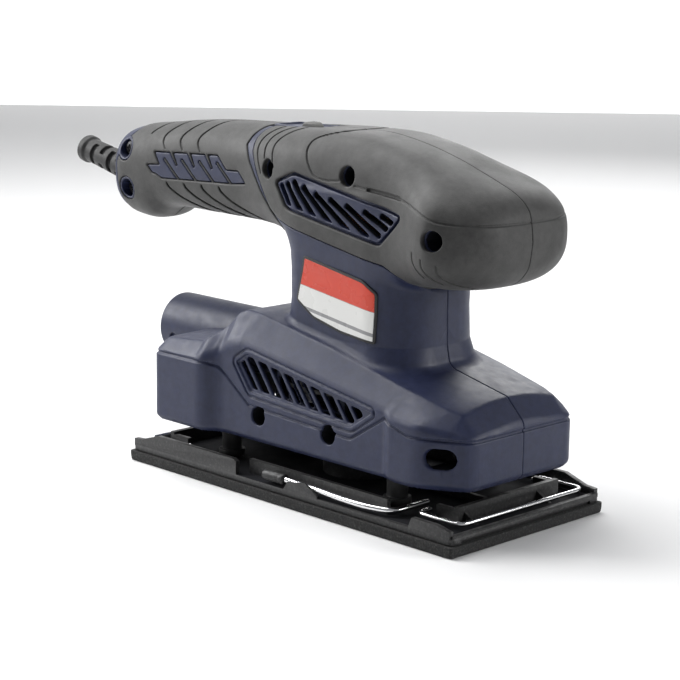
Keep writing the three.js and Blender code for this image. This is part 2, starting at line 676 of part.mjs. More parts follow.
/** The half disc that balances the eccentric pin. */
function counterweight() {
  const { radius, bottom, top } = COUNTERWEIGHT;
  const disc = rodZ(MOTOR_X, 0, radius, bottom, top, 32);
  const collar = rodZ(MOTOR_X, 0, 9, bottom, top);
  const keep = box([-FAR, -FAR, bottom - 1], [MOTOR_X - 2, FAR, top + 1]).add(collar);
  return disc.intersect(keep).subtract(rodZ(MOTOR_X, 0, BORE, bottom - 1, top + 1));
}
piece('counterweight', counterweight(), DARK_STEEL, 0.4, 1);

/** The hub on the shaft's lower end, with its pin off centre by the eccentricity. */
function eccentricHub() {
  const { hub, pin, bottom, shoulder, top } = ECCENTRIC;
  const body = rodZ(MOTOR_X, 0, hub, shoulder, top).subtract(rodZ(MOTOR_X, 0, BORE, SHAFT.bottom - GAP, FAR));
  return body.add(rodZ(MOTOR_X + ECCENTRICITY, 0, pin, bottom, shoulder + 0.5));
}
piece('eccentric_hub', eccentricHub(), STEEL, 0.3, 1);

// ---------------------------------------------------------------- orbiting pad

const PAD_AXIS_X = MOTOR_X + ECCENTRICITY;

/** A ring on the pad bearing's axis. */
function padRing(outer, inner, z0, z1) {
  return rodZ(PAD_AXIS_X, 0, outer, z0, z1, 28).subtract(rodZ(PAD_AXIS_X, 0, inner, z0 - 1, z1 + 1, 28));
}

const padBearing = padRing(PAD_BEARING.radius, ECCENTRIC.pin + GAP, PAD_BEARING.bottom, PAD_BEARING.top);
piece('pad_bearing', padBearing, STEEL, 0.3, 1);

/** What one end of the tray carries above its floor, for the front end and near side. */
function trayEnd() {
  const { halfX, halfY, wall, floorTop, ledgeTop } = TRAY;
  const low = floorTop - 0.5;
  const edge = halfY - 0.05;
  const nose = [[halfX - 1, 9.6], [halfX - 1, low]];
  const farWall = polygon([[26, low], [26, 12.4], [28, 13.3], [76, 13.3], [86, 10], ...nose]);
  const nearCorner = polygon([[70, low], [72, 11], [84, 11], ...nose]);
  const leverHook = polygon([[2, low], [4.6, 10.5], [14.7, 11.9], [21.5, 8], [21.5, low]]);
  const shelfFront = 79.8;
  const shelfRear = shelfFront - 2.2;
  const gusset = slabY(polygon([[shelfRear, low], [shelfRear, 12], [87, low]]), -0.8, 0.8);
  const parts = [
    slabY(farWall, halfY - wall, edge),
    slabY(nearCorner, -edge, wall - halfY),
    slabY(leverHook, -edge, 0.8 - edge),
    box([halfX - wall, 1 - halfY, low], [halfX - 0.05, halfY - 1, ledgeTop]),
    box([shelfRear, -26, low], [shelfFront, 33, 13]),
    box([68.5, -26, low], [shelfFront - 1, -24, 12]),
    box([68.5, 31, low], [shelfFront - 1, 33, 12]),
    box([-24, -37.8, low], [54, -36, 13]),
    box([24, -1, low], [shelfFront - 1, 1, 10]),
    gusset.translate([0, -22, 0]),
    gusset.translate([0, 20.5, 0]),
  ];
  return parts.reduce((body, next) => body.add(next));
}

/** The moulded tray that the pad is bonded to. */
function padTray() {
  const { halfX, halfY, corner, floorTop } = TRAY;
  const bottom = PAD.thickness + GAP;
  const undercut = box(
    [halfX - UNDERCUT.depth, -UNDERCUT.halfY, 0],
    [FAR, UNDERCUT.halfY, bottom + UNDERCUT.height],
  );
  let tray = slabZ(roundedRectangle(0, 0, halfX, halfY, corner), bottom, floorTop);
  tray = tray.subtract(undercut).subtract(turned(undercut));
  tray = tray.add(trayEnd()).add(turned(trayEnd()));
  tray = tray.add(rodZ(PAD_AXIS_X, 0, PAD_BEARING.radius + 2.8, floorTop - 0.5, 19, 28));
  return tray.subtract(rodZ(PAD_AXIS_X, 0, PAD_BEARING.radius + GAP, PAD_BEARING.bottom - GAP, 30, 28))
    .subtract(rodZ(PAD_AXIS_X, 0, ECCENTRIC.pin + 2, floorTop + 1, 30, 28));
}
piece('pad_tray', padTray(), BLACK, 0.8);

const foamOutline = roundedRectangle(0, 0, PAD.halfX, PAD.halfY, PAD.corner);
piece('foam_pad', slabZ(foamOutline, 0, PAD.thickness), 0x202022, 0.95);

/** A round wire bent through the given points, with its bends eased. */
function wire(points, radius, steps, curve) {
  const path = new THREE.CurvePath();
  const corners = points.map((point) => new THREE.Vector3(...point));
  const easing = 2.2;
  let start = corners[0];
  for (let i = 1; i < corners.length - 1; i += 1) {
    const before = corners[i].clone().add(corners[i - 1].clone().sub(corners[i]).setLength(easing));
    const after = corners[i].clone().add(corners[i + 1].clone().sub(corners[i]).setLength(easing));
    path.add(new THREE.LineCurve3(start, before));
    path.add(new THREE.QuadraticBezierCurve3(before, corners[i], after));
    start = after;
  }
  path.add(new THREE.LineCurve3(start, corners[corners.length - 1]));
  const section = new THREE.Shape().absarc(0, 0, radius, 0, 2 * Math.PI);
  return solid(new THREE.ExtrudeGeometry(section, { steps, curveSegments: curve, extrudePath: path }));
}

/** The paper clamp's lever: a wire along the side of the tray, turned in to make its own axle. */
function clampLever() {
  const { leverX, leverZ, lever } = WIRE;
  return wire([
    [SLEEVE.rear + 1, SLEEVE.y, SLEEVE.z], [SLEEVE.front - 1, SLEEVE.y, SLEEVE.z],
    [6, -41.5, 10.2], [23, -41.5, 9.8], [32, -42.2, 9.6], [46, -42.2, leverZ],
    [leverX, -39.5, leverZ], [leverX, -20, leverZ],
  ], lever, 42, 4);
}

/** The soft sleeve on the lever's free end, open at both ends. */
function leverSleeve() {
  const { radius, rear, front, y, z } = SLEEVE;
  const bore = rodX(y, z, WIRE.lever + GAP, rear - 1, front + 1, 12);
  return rodX(y, z, radius, rear, front, 12).subtract(bore);
}

/** The wire loop that presses the paper's end on to the tray. */
function clampBail() {
  const { bailX, bailZ, bail } = WIRE;
  const low = 9.4;
  return wire([
    [bailX, -26.6, bailZ], [bailX, -33.5, bailZ], [87.4, -33.5, low],
    [87.4, 39.3, low], [bailX, 39.3, bailZ], [bailX, 34, bailZ],
  ], bail, 46, 3);
}

for (const [end, place] of [['front', (body) => body], ['rear', turned]]) {
  piece(`${end}_clamp_lever`, place(clampLever()), STEEL, 0.2, 1);
  piece(`${end}_lever_sleeve`, place(leverSleeve()), BLACK, 0.7);
  piece(`${end}_clamp_bail`, place(clampBail()), STEEL, 0.2, 1);
}

export default machine;
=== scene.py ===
"""The looks of a hand-held orbital sander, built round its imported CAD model.

The moulded shells are sculpted as distance fields: every form is a function that is negative inside the
solid, forms are joined and cut with rounded edges, and the zero surface becomes the mesh. Lengths in the
sculpting code are millimetres; scene lengths are metres.
"""
import math

import bpy
import bmesh
import numpy as np
from mathutils import Matrix, Vector


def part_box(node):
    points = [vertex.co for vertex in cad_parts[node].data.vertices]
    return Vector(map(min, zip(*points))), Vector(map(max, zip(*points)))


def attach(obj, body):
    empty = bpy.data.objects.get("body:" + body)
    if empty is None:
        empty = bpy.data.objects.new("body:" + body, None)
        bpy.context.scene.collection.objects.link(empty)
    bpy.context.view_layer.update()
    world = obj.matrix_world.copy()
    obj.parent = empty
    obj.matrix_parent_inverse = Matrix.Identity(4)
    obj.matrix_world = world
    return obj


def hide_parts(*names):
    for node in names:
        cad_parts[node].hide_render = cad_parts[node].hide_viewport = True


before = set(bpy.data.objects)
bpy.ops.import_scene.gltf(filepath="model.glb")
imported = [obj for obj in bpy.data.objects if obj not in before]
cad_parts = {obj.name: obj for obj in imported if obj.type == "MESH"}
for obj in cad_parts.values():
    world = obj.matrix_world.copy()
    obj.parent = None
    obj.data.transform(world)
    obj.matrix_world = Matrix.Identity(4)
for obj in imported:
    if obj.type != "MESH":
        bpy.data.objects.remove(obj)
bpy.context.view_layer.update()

MM = 0.001
VOXEL = 0.5        # sculpting grid of the casing
SKIN_VOXEL = 0.4   # sculpting grid of the rubber skins
TRIANGLE_BUDGET = 110_000                 # most triangles in one sculpted piece

SPLIT = 0.004                             # half the gap between the casing's left and right halves
SKIN_SPLIT = 0.09                         # half the gap between the rubber's left and right halves
WALL = 2.4                                # casing wall
RUBBER = 2.4                              # depth of the rubber skins
SKIN_GAP = 0.25                           # groove between rubber and casing
BEZEL_CORNER = 3.0                        # corner radius of the switch's frame
BEZEL_SEAT = 138                          # the casing is cut down to this height under the frame
SWITCH_TRAVEL = 5.5                       # room for the knob to slide forward
SWITCH_SLOT_HALF = 3.7                    # half the width of the slot it slides in
SHADE_DEPTH = 1.6                         # faces deeper than this below the outside get painted shade


# ------------------------------------------------------------------ camera, light and floor

CAMERA_AZIMUTH = math.radians(45.14)
CAMERA_ELEVATION = math.radians(11.83)
CAMERA_ROLL = math.radians(0.80)
CAMERA_TARGET = Vector((59.03, -69.38, 80.0)) * MM
CAMERA_DISTANCE = 693.4 * MM
CAMERA_LENS = 102.05                      # on a 36 mm sensor


def add_camera():
    """Puts the camera at the photograph's angle."""
    back = Vector((
        math.sin(CAMERA_AZIMUTH) * math.cos(CAMERA_ELEVATION),
        -math.cos(CAMERA_AZIMUTH) * math.cos(CAMERA_ELEVATION),
        math.sin(CAMERA_ELEVATION),
    ))
    data = bpy.data.cameras.new("camera")
    data.lens = CAMERA_LENS
    data.sensor_width = 36.0
    data.clip_end = 20.0
    camera = bpy.data.objects.new("camera", data)
    bpy.context.scene.collection.objects.link(camera)
    turn = back.to_track_quat("Z", "Y") @ Matrix.Rotation(CAMERA_ROLL, 3, "Z").to_quaternion()
    camera.rotation_mode = "QUATERNION"
    camera.rotation_quaternion = turn
    camera.location = CAMERA_TARGET + back * CAMERA_DISTANCE
    bpy.context.scene.camera = camera


def add_area_light(name, place, target, size, power):
    """A soft square light that faces its target."""
    data = bpy.data.lights.new(name, "AREA")
    data.size = size
    data.energy = power
    light = bpy.data.objects.new(name, data)
    bpy.context.scene.collection.objects.link(light)
    light.location = place
    light.rotation_euler = (Vector(place) - Vector(target)).to_track_quat("Z", "Y").to_euler()


def paper(name, shade, rough, glow=0.0):
    """A plain pale material for the studio."""
    material = bpy.data.materials.new(name)
    material.use_nodes = True
    shader = material.node_tree.nodes["Principled BSDF"]
    shader.inputs["Base Color"].default_value = (shade, shade, shade, 1.0)
    shader.inputs["Roughness"].default_value = rough
    shader.inputs["Emission Color"].default_value = (1.0, 1.0, 1.0, 1.0)
    shader.inputs["Emission Strength"].default_value = glow
    return material


def add_sheet(name, size, place, material, scale=(1.0, 1.0, 1.0), turn=(0.0, 0.0, 0.0)):
    """A flat sheet of studio paper."""
    bpy.ops.mesh.primitive_plane_add(size=size, location=place)
    sheet = bpy.context.object
    sheet.name = name
    sheet.scale = scale
    sheet.rotation_euler = turn
    sheet.data.materials.append(material)


def add_studio():
    """Plain pale floor, pale surroundings and soft lights."""
    world = bpy.data.worlds.new("studio")
    bpy.context.scene.world = world
    world.use_nodes = True
    sky = world.node_tree.nodes["Background"]
    sky.inputs["Color"].default_value = (0.94, 0.96, 1.0, 1.0)
    sky.inputs["Strength"].default_value = 0.22
    heart = (0.0, 0.0, 0.08)
    add_area_light("left_light", (-0.78, -0.40, 0.5), heart, 0.5, 8.0)
    add_area_light("right_light", (0.85, 0.5, 0.42), heart, 0.45, 5.5)
    add_area_light("top_light", (-0.35, -0.05, 0.9), heart, 0.6, 9.0)
    add_area_light("rear_light", (-0.5, 0.9, 0.6), heart, 0.5, 3.0)
    bpy.context.scene.view_settings.view_transform = "Standard"
    add_sheet("floor", 12.0, (0, 0, -0.0002), paper("floor_paper", 0.78, 0.9))
    # an upright, evenly lit sheet well behind the machine, facing the camera
    upright = (math.pi / 2, 0, math.pi / 4)
    glowing = paper("backdrop_paper", 0.8, 1.0, 0.8)
    add_sheet("backdrop", 1.0, (-1.25, 1.25, 0.7), glowing, (2.4, 1.7, 1.0), upright)


# ------------------------------------------------------------------ distance fields

def line_distance(a, b, points, closed=False):
    """Distance from (a, b) to a line of points."""
    best = np.full(np.broadcast(a, b).shape, 1e9)
    ends = points[1:] + points[:1] if closed else points[1:]
    for (a0, b0), (a1, b1) in zip(points, ends):
        da, db = a1 - a0, b1 - b0
        length = da * da + db * db
        if length < 1e-12:
            continue
        along = np.clip(((a - a0) * da + (b - b0) * db) / length, 0.0, 1.0)
        best = np.minimum(best, (a - a0 - along * da) ** 2 + (b - b0 - along * db) ** 2)
    return np.sqrt(best)


def outline_distance(a, b, points):
    """Signed distance to a closed outline, negative inside."""
    inside = np.zeros(np.broadcast(a, b).shape, bool)
    for (a0, b0), (a1, b1) in zip(points, points[1:] + points[:1]):
        crosses = (b0 > b) != (b1 > b)
        reach = a0 + (b - b0) / np.where(b1 == b0, 1e-9, b1 - b0) * (a1 - a0)
        inside ^= crosses & (a < reach)
    distance = line_distance(a, b, points, closed=True)
    return np.where(inside, -distance, distance)


def smooth_line(points, steps):
    """A smooth line through the points."""
    last = len(points) - 1
    result = []
    for i in range(last):
        four = [points[min(max(i + k, 0), last)] for k in (-1, 0, 1, 2)]
        p0, p1, p2, p3 = (np.array(p, float) for p in four)
        for step in range(steps):
            t = step / steps
            point = 0.5 * (2 * p1 + (p2 - p0) * t + (2 * p0 - 5 * p1 + 4 * p2 - p3) * t * t
                           + (3 * p1 - p0 - 3 * p2 + p3) * t ** 3)
            result.append(tuple(point))
    result.append(tuple(map(float, points[-1])))
    return result


def bend(before, here, after, radius, share, steps):
    """The eased corner between two straight runs. It takes at most this share of each run."""
    before, here, after = (np.array(p, float) for p in (before, here, after))
    arm0, arm1 = before - here, after - here
    reach = min(radius, share * np.linalg.norm(arm0), share * np.linalg.norm(arm1))
    start = here + arm0 / np.linalg.norm(arm0) * reach
    end = here + arm1 / np.linalg.norm(arm1) * reach
    points = []
    for step in range(steps + 1):
        t = step / steps
        points.append((1 - t) ** 2 * start + 2 * t * (1 - t) * here + t * t * end)
    return points


def rounded(points, radius):
    """A closed outline with each corner eased over the given length."""
    result = []
    for i, here in enumerate(points):
        after = points[(i + 1) % len(points)]
        result += [tuple(p) for p in bend(points[i - 1], here, after, radius, 0.45, 5)]
    return result


def both(a, b, radius):
    """What two forms share, with the edge between them rounded."""
    sharp = np.maximum(a, b)
    return np.minimum(sharp, -radius) + np.hypot(np.maximum(a + radius, 0), np.maximum(b + radius, 0))


def either(a, b, radius):
    """Two forms joined, with a fillet between them."""
    return -both(-a, -b, radius)


def without(a, b, radius):
    """A form with another one cut out of it."""
    return both(a, -b, radius)


def engrave(form, line, half_width, depth):
    """A form with a round-bottomed groove of the given half width along a line."""
    notch = np.minimum(half_width - line, form + depth)
    return both(form, notch, 0.35)


def step_down(form, zone, depth, ease=0.5):
    """A form lowered by depth inside a zone."""
    return both(form, either(-zone, form + depth, ease), ease)


class Grid:
    """A box of sample points, in millimetres."""

    def __init__(self, low, high, voxel):
        self.low = np.array(low, float)
        self.voxel = voxel
        self.axes = [np.arange(a, b + voxel, voxel) for a, b in zip(low, high)]
        x, y, z = self.axes
        self.x = x[:, None, None]
        self.y = y[None, :, None]
        self.z = z[None, None, :]

    def side(self, make):
        """A field of x and z only."""
        return make(self.x[:, 0, :], self.z[0, :, :])[:, None, :].astype(np.float32)

    def plan(self, make):
        """A field of x and y only."""
        return make(self.x[:, :, 0], self.y[:, :, 0])[:, :, None].astype(np.float32)


def flank_disc(g, x, z, radius):
    """Distance to a round bar across the machine, seen from its side."""
    return g.side(lambda a, b: np.hypot(a - x, b - z) - radius)


def flank_line(g, points, smooth=True):
    """Distance to a line drawn on the flank."""
    line = smooth_line(points, 4) if smooth else points
    return g.side(lambda a, b: line_distance(a, b, line))


def flank_zone(g, points, corner=0.0):
    """Signed distance to an outline drawn on the flank."""
    outline = rounded(points, corner) if corner else points
    return g.side(lambda a, b: outline_distance(a, b, outline))


def shifted(points, dx, dz):
    """The same line moved."""
    return [(x + dx, z + dz) for x, z in points]


def between(axis, low, high):
    """A slab between two places on an axis."""
    return np.maximum(low - axis, axis - high).astype(np.float32)


def bar_x(g, z, radius, x0, x1):
    """A round bar along x on the middle plane."""
    ring = np.hypot(g.y, g.z - z).astype(np.float32) - radius
    return np.maximum(ring, between(g.x, x0, x1))


def bar_z(g, x, y, radius, z0, z1):
    """An upright round bar."""
    ring = np.hypot(g.x - x, g.y - y).astype(np.float32) - radius
    return np.maximum(ring, between(g.z, z0, z1))


def block(g, low, high):
    """A box between two corners."""
    across, deep, tall = (between(axis, a, b) for axis, a, b in zip((g.x, g.y, g.z), low, high))
    return np.maximum(np.maximum(across, deep), tall)


def box_room(node, gap=0.3):
    """Corners, in millimetres, of the room that a CAD node needs."""
    low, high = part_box(node)
    return [v / MM - gap for v in low], [v / MM + gap for v in high]


def rounded_plan(g, low, high, radius):
    """Signed distance to an upright block with rounded corners."""
    out_x = np.abs(g.x - (low[0] + high[0]) / 2) - (high[0] - low[0]) / 2 + radius
    out_y = np.abs(g.y - (low[1] + high[1]) / 2) - (high[1] - low[1]) / 2 + radius
    outside = np.hypot(np.maximum(out_x, 0), np.maximum(out_y, 0))
    return (outside + np.minimum(np.maximum(out_x, out_y), 0) - radius).astype(np.float32)


def sample(field, grid, points):
    """The field's value and slope at points, by trilinear interpolation."""
    place = (points - grid.low) / grid.voxel
    cell = np.clip(np.floor(place).astype(int), 0, np.array(field.shape) - 2)
    t = np.clip(place - cell, 0.0, 1.0)
    corner = {}
    for i in (0, 1):
        for j in (0, 1):
            for k in (0, 1):
                corner[i, j, k] = field[cell[:, 0] + i, cell[:, 1] + j, cell[:, 2] + k].astype(float)
    wx, wy, wz = t[:, 0], t[:, 1], t[:, 2]

    def mix(values, w):
        return values[0] * (1 - w) + values[1] * w

    along_z = {(i, j): (corner[i, j, 0], corner[i, j, 1]) for i in (0, 1) for j in (0, 1)}
    in_z = {key: mix(pair, wz) for key, pair in along_z.items()}
    in_y = {i: mix((in_z[i, 0], in_z[i, 1]), wy) for i in (0, 1)}
    value = mix((in_y[0], in_y[1]), wx)
    slope_x = in_y[1] - in_y[0]
    slope_y = mix((in_z[0, 1] - in_z[0, 0], in_z[1, 1] - in_z[1, 0]), wx)
    dz = {key: pair[1] - pair[0] for key, pair in along_z.items()}
    slope_z = mix((mix((dz[0, 0], dz[0, 1]), wy), mix((dz[1, 0], dz[1, 1]), wy)), wx)
    slope = np.stack([slope_x, slope_y, slope_z], 1) / grid.voxel
    return value, slope


def surface(field, grid):
    """Vertices and quads of the field's zero surface: one vertex in each cell that it crosses."""
    field = field.astype(np.float32)
    solid = field < 0
    counts = np.zeros(tuple(n - 1 for n in field.shape), np.uint8)
    for i in (0, 1):
        for j in (0, 1):
            for k in (0, 1):
                counts += solid[i:i + counts.shape[0], j:j + counts.shape[1], k:k + counts.shape[2]]
    crossed = (counts > 0) & (counts < 8)
    cells = np.argwhere(crossed)
    number = np.full(counts.shape, -1, np.int64)
    number[crossed] = np.arange(len(cells))
    total = np.zeros((len(cells), 3))
    hits = np.zeros(len(cells))
    for axis in range(3):
        others = [a for a in range(3) if a != axis]
        for p in (0, 1):
            for q in (0, 1):
                start = cells.copy()
                start[:, others[0]] += p
                start[:, others[1]] += q
                end = start.copy()
                end[:, axis] += 1
                f0 = field[tuple(start.T)].astype(float)
                f1 = field[tuple(end.T)].astype(float)
                cut = (f0 < 0) != (f1 < 0)
                t = np.where(cut, f0 / np.where(cut, f0 - f1, 1.0), 0.0)
                point = start.astype(float)
                point[:, axis] += t
                total[cut] += point[cut]
                hits[cut] += 1
    points = grid.low + total / hits[:, None] * grid.voxel
    quads = []
    for axis in range(3):
        u, v = [(1, 2), (2, 0), (0, 1)][axis]
        low = [slice(None)] * 3
        high = [slice(None)] * 3
        low[axis], high[axis] = slice(0, -1), slice(1, None)
        a, b = solid[tuple(low)], solid[tuple(high)]
        edge = np.argwhere(a != b)
        keep = np.ones(len(edge), bool)
        for other in (u, v):
            keep &= (edge[:, other] > 0) & (edge[:, other] < field.shape[other] - 1)
        edge = edge[keep]
        outward = a[tuple(edge.T)]
        ring = []
        for du, dv in ((-1, -1), (0, -1), (0, 0), (-1, 0)):
            cell = edge.copy()
            cell[:, u] += du
            cell[:, v] += dv
            ring.append(number[tuple(cell.T)])
        ring = np.stack(ring, 1)
        ring[~outward] = ring[~outward][:, ::-1]
        quads.append(ring)
    return points, np.concatenate(quads)


def settle(points, field, grid, rounds=3):
    """Moves points on to the field's zero surface."""
    for _ in range(rounds):
        value, slope = sample(field, grid, points)
        steep = np.maximum((slope ** 2).sum(1), 0.05)
        move = slope * (value / steep)[:, None]
        size = np.linalg.norm(move, axis=1)
        limit = 0.4 * grid.voxel
        points = points - move * np.minimum(1.0, limit / np.maximum(size, 1e-9))[:, None]
    return points


def link(name, mesh):
    """Puts a new object with this mesh in the scene."""
    piece = bpy.data.objects.new(name, mesh)
    bpy.context.scene.collection.objects.link(piece)
    return piece


def reduced(piece, budget):
    """Cuts a mesh down to the triangle budget."""
    faces = sum(len(p.vertices) - 2 for p in piece.data.polygons)
    if faces <= budget:
        return
    thin = piece.modifiers.new("thin", "DECIMATE")
    thin.ratio = budget / faces
    depsgraph = bpy.context.evaluated_depsgraph_get()
    mesh = bpy.data.meshes.new_from_object(piece.evaluated_get(depsgraph))
    piece.modifiers.clear()
    old = piece.data
    piece.data = mesh
    bpy.data.meshes.remove(old)


def sculpt(name, field, grid, budget=TRIANGLE_BUDGET):
    """Turns a field into a smooth mesh."""
    points, quads = surface(field, grid)
    points = settle(points, field, grid)
    mesh = bpy.data.meshes.new(name)
    mesh.from_pydata(points.tolist(), [], quads.tolist())
    piece = link(name, mesh)
    keep_largest(piece)
    reduced(piece, budget)
    finish_surface(piece, field, grid)
    return piece


def values_of(items, key):
    """A vector property of a mesh's vertices, faces or corners, one row for each."""
    values = np.zeros(len(items) * 3)
    items.foreach_get(key, values)
    return values.reshape(-1, 3)


def shade_smooth(mesh, normals):
    """Smooth shading from a normal for each vertex."""
    mesh.polygons.foreach_set("use_smooth", np.ones(len(mesh.polygons), bool))
    mesh.update()
    mesh.normals_split_custom_set_from_vertices(normals.tolist())


def keep_largest(piece):
    """Drops small loose islands from a mesh."""
    mesh = piece.data
    count = len(mesh.vertices)
    edges = np.zeros(len(mesh.edges) * 2, int)
    mesh.edges.foreach_get("vertices", edges)
    edges = edges.reshape(-1, 2)
    label = np.arange(count)
    while True:
        low = np.minimum(label[edges[:, 0]], label[edges[:, 1]])
        before = label.copy()
        np.minimum.at(label, edges[:, 0], low)
        np.minimum.at(label, edges[:, 1], low)
        label = label[label]
        if np.array_equal(label, before):
            break
    names, sizes = np.unique(label, return_counts=True)
    if len(names) == 1:
        return
    keep = label == names[np.argmax(sizes)]
    work = bmesh.new()
    work.from_mesh(mesh)
    work.verts.ensure_lookup_table()
    bmesh.ops.delete(work, geom=[work.verts[i] for i in np.flatnonzero(~keep)], context="VERTS")
    work.to_mesh(mesh)
    work.free()


def finish_surface(piece, field, grid):
    """Lays the vertices on the surface, turns millimetres into metres and sets smooth normals."""
    mesh = piece.data
    points = settle(values_of(mesh.vertices, "co"), field, grid, 2)
    _, slope = sample(field, grid, points)
    normals = slope / np.maximum(np.linalg.norm(slope, axis=1), 1e-9)[:, None]
    mesh.vertices.foreach_set("co", (points * MM).ravel())
    shade_smooth(mesh, normals)


def deep_faces(piece, outside, grid):
    """Which faces lie well below the outside of a form: the walls of slots and hollows."""
    depth, _ = sample(outside, grid, values_of(piece.data.polygons, "center") / MM)
    return depth < -SHADE_DEPTH


def mirrored(piece, name):
    """A copy of a piece on the other side of the middle plane."""
    mesh = piece.data
    flip = (1, -1, 1)
    points = values_of(mesh.vertices, "co") * flip
    faces = [list(reversed(p.vertices)) for p in mesh.polygons]
    vertex_of = np.zeros(len(mesh.loops), int)
    mesh.loops.foreach_get("vertex_index", vertex_of)
    normals = np.zeros((len(mesh.vertices), 3))
    normals[vertex_of] = values_of(mesh.corner_normals, "vector")
    copy = bpy.data.meshes.new(name)
    copy.from_pydata(points.tolist(), [], faces)
    shade_smooth(copy, normals * flip)
    return link(name, copy)


# ------------------------------------------------------------------ outlines of the shells, in millimetres

BEHIND = -160                             # an x behind the whole machine
BEYOND = 50                               # a y outside the casing
ABOVE = 160                               # a z above the whole machine

# Handle and head, along x: top line, bottom line, half width and squareness of the cross section
BODY_TOP = [(-139, 134), (-138, 135.8), (-136, 137.2), (-133.6, 138.2), (-130, 139.2), (-124, 140.3),
            (-112, 141.6), (-99, 143.2), (-80, 144.8), (-57, 145.7), (-34, 146.4), (-11, 147.2), (5, 147.4),
            (19, 147), (36, 144.2), (51.5, 140.2), (62, 136.7), (72.4, 132.9), (80, 129.8), (85, 126.6),
            (88, 123), (89.6, 119), (91, 114)]
BODY_BOTTOM = [(-139, 104.5), (-138, 103), (-136, 101.2), (-133, 99.9), (-128, 98.9), (-121, 98.4),
               (-116.5, 99.4), (-112.5, 102), (-109, 104.2), (-104, 105.2), (-95, 105.4), (-80, 105.2),
               (-46, 105), (-32, 104.4), (-24, 103), (-18, 99.6), (-12, 95.6), (-5, 92.6), (5, 91),
               (20, 90.6), (43, 91), (60, 91.8), (70, 92.6), (78, 94), (84, 97), (88, 101.8), (89.6, 106),
               (91, 111)]
BODY_HALF = [(-139, 14.5), (-138, 16.5), (-136.4, 17.6), (-134, 18.4), (-130, 19), (-120, 19), (-100, 19.1),
             (-80, 19.4), (-58, 20.2), (-46, 21.4), (-34, 24), (-22, 26.8), (-11, 28), (20, 28), (38, 28),
             (47, 29.2), (54, 31.8), (60, 34.8), (65, 37), (70, 37.6), (75, 35.6), (80, 32), (84.5, 26.8),
             (87.8, 20.5), (89.6, 14), (91, 8)]
BODY_SQUARE = [(-139, 2.5), (-112, 2.7), (-50, 2.8), (-34, 3.1), (-19, 3.4), (-7, 4), (43, 4), (56, 3.2),
               (70, 2.8), (91, 2.5)]
BODY_ENDS = (-138, 90)

# Neck, up z: rear, front and half width
NECK_REAR = [(44, -30), (60, -24), (67, -21), (80, -20), (101, -20), (125, -19)]
NECK_FRONT = [(44, 56), (60, 50.5), (67, 49), (80, 48.6), (125, 49)]
NECK_HALF = [(44, 33), (60, 28), (67, 26.4), (80, 26), (92, 26.2), (101, 27), (125, 27.8)]
NECK_REAR_CORNER = 12
NECK_FRONT_CORNER = 21
NECK_TOP = 125
NECK_FILLET = 2.6

# Base: half of its plan, and the heights of its top along x
BASE_HALF_PLAN = [(-79, -60), (-79, 43.5), (-48.5, 43.5), (-42, 38.6), (52.4, 38.6), (55.6, 40.2), (70, 40.2),
                  (88.7, 29.5), (88.7, -60)]
BASE_BOTTOM = 19.5
BASE_CHAMFER = 3.2
TOP_MIDDLE = [(-80, 52), (-75, 56.6), (-53, 59), (-44, 66), (-36, 72), (-25, 72.8), (14, 66.2), (51, 58.4),
              (80, 51.8), (89, 42.8)]
TOP_RIDGE = [(-80, 52), (-75, 56), (-53, 57.6), (-45, 63), (-38, 71), (-34, 72.6), (-27, 72), (14, 64.4),
             (52, 55.6), (75, 50.2), (81, 48.6), (89, 41)]
TOP_FLANK = [(-80, 50), (-53, 50.4), (-46, 53), (-38, 58.5), (-30, 60.5), (14, 54), (52, 47.4), (57, 45.4),
             (72, 44.4), (89, 41)]
RIDGE_OUT = [(-80, 37.5), (-50, 37.5), (-42, 32), (-34, 30), (52, 30), (75, 28), (89, 24)]
RIDGE_SOFTENING = 2                       # passes of blurring over the ridges
DUST_AXIS_Z = 51.6
DUST_TUBE = 14.0
DUST_BORE = 11.6
DUST_SEAT = -55.7                         # the dust tube is pushed in as far as this
DUST_HOLE = 2.6                           # radius of the bayonet hole in its left side
DUST_HOLE_IN = 9                          # from the tube's rim
DUST_HOLE_DROP = 4                        # below the tube's axis
DUST_HOLE_FLOOR = 0.8                     # wall left behind the hole
DUST_FAIRING = -36                        # and its round form runs on inside the hump as far as this

# Lines and zones drawn on the flanks, as (x, z)
BELT_LINE = [(-100, 50), (-47, 50), (-42, 48.6), (-24, 35.6), (34, 32.8), (52.4, 44.4), (55, 43.4),
             (66, 40.2), (110, 40)]
HEAD_ZONE = [(-39, 160), (-42.3, 141), (-41.4, 136), (-36.4, 127.4), (-27, 114.6), (-22.4, 111), (-16, 109.6),
             (-5, 107.6), (26, 101.6), (38, 99.6), (46, 95), (52, 80), (120, 80), (120, 160)]
SLEEVE_ZONE = [(-131, 160), (-126.5, 138), (-131, 131), (-134.4, 123), (-133, 112), (-128, 80), (-20, 80),
               (-21, 107.6), (-24.5, 111.4), (-34, 121), (-42.6, 131), (-47.2, 138), (-45.6, 144.5),
               (-40, 160)]
UPPER_VENT = [(-21, 125.8), (-10.1, 130.1), (49.7, 119.6), (36.7, 107.9), (-14.1, 116.6)]
UPPER_SLOTS = [((-17.4, 124.9), (-12.2, 117.8)), ((-13.6, 125.9), (-5.2, 115.9)),
               ((-9.7, 127.0), (2.4, 114.2)), ((-3.9, 125.4), (11.4, 112.6)), ((3.3, 123.4), (21.0, 111.2)),
               ((11.4, 122.2), (31.0, 110.3)), ((20.4, 120.6), (37.0, 111.1)),
               ((30.0, 119.3), (41.0, 113.9)), ((38.6, 118.6), (45.2, 116.2))]
UPPER_SLOT_HALF = 1.25
UPPER_SLOTS_TO = 20                       # the slots cut in to this far from the middle plane
LOWER_SLOTS_TO = 30
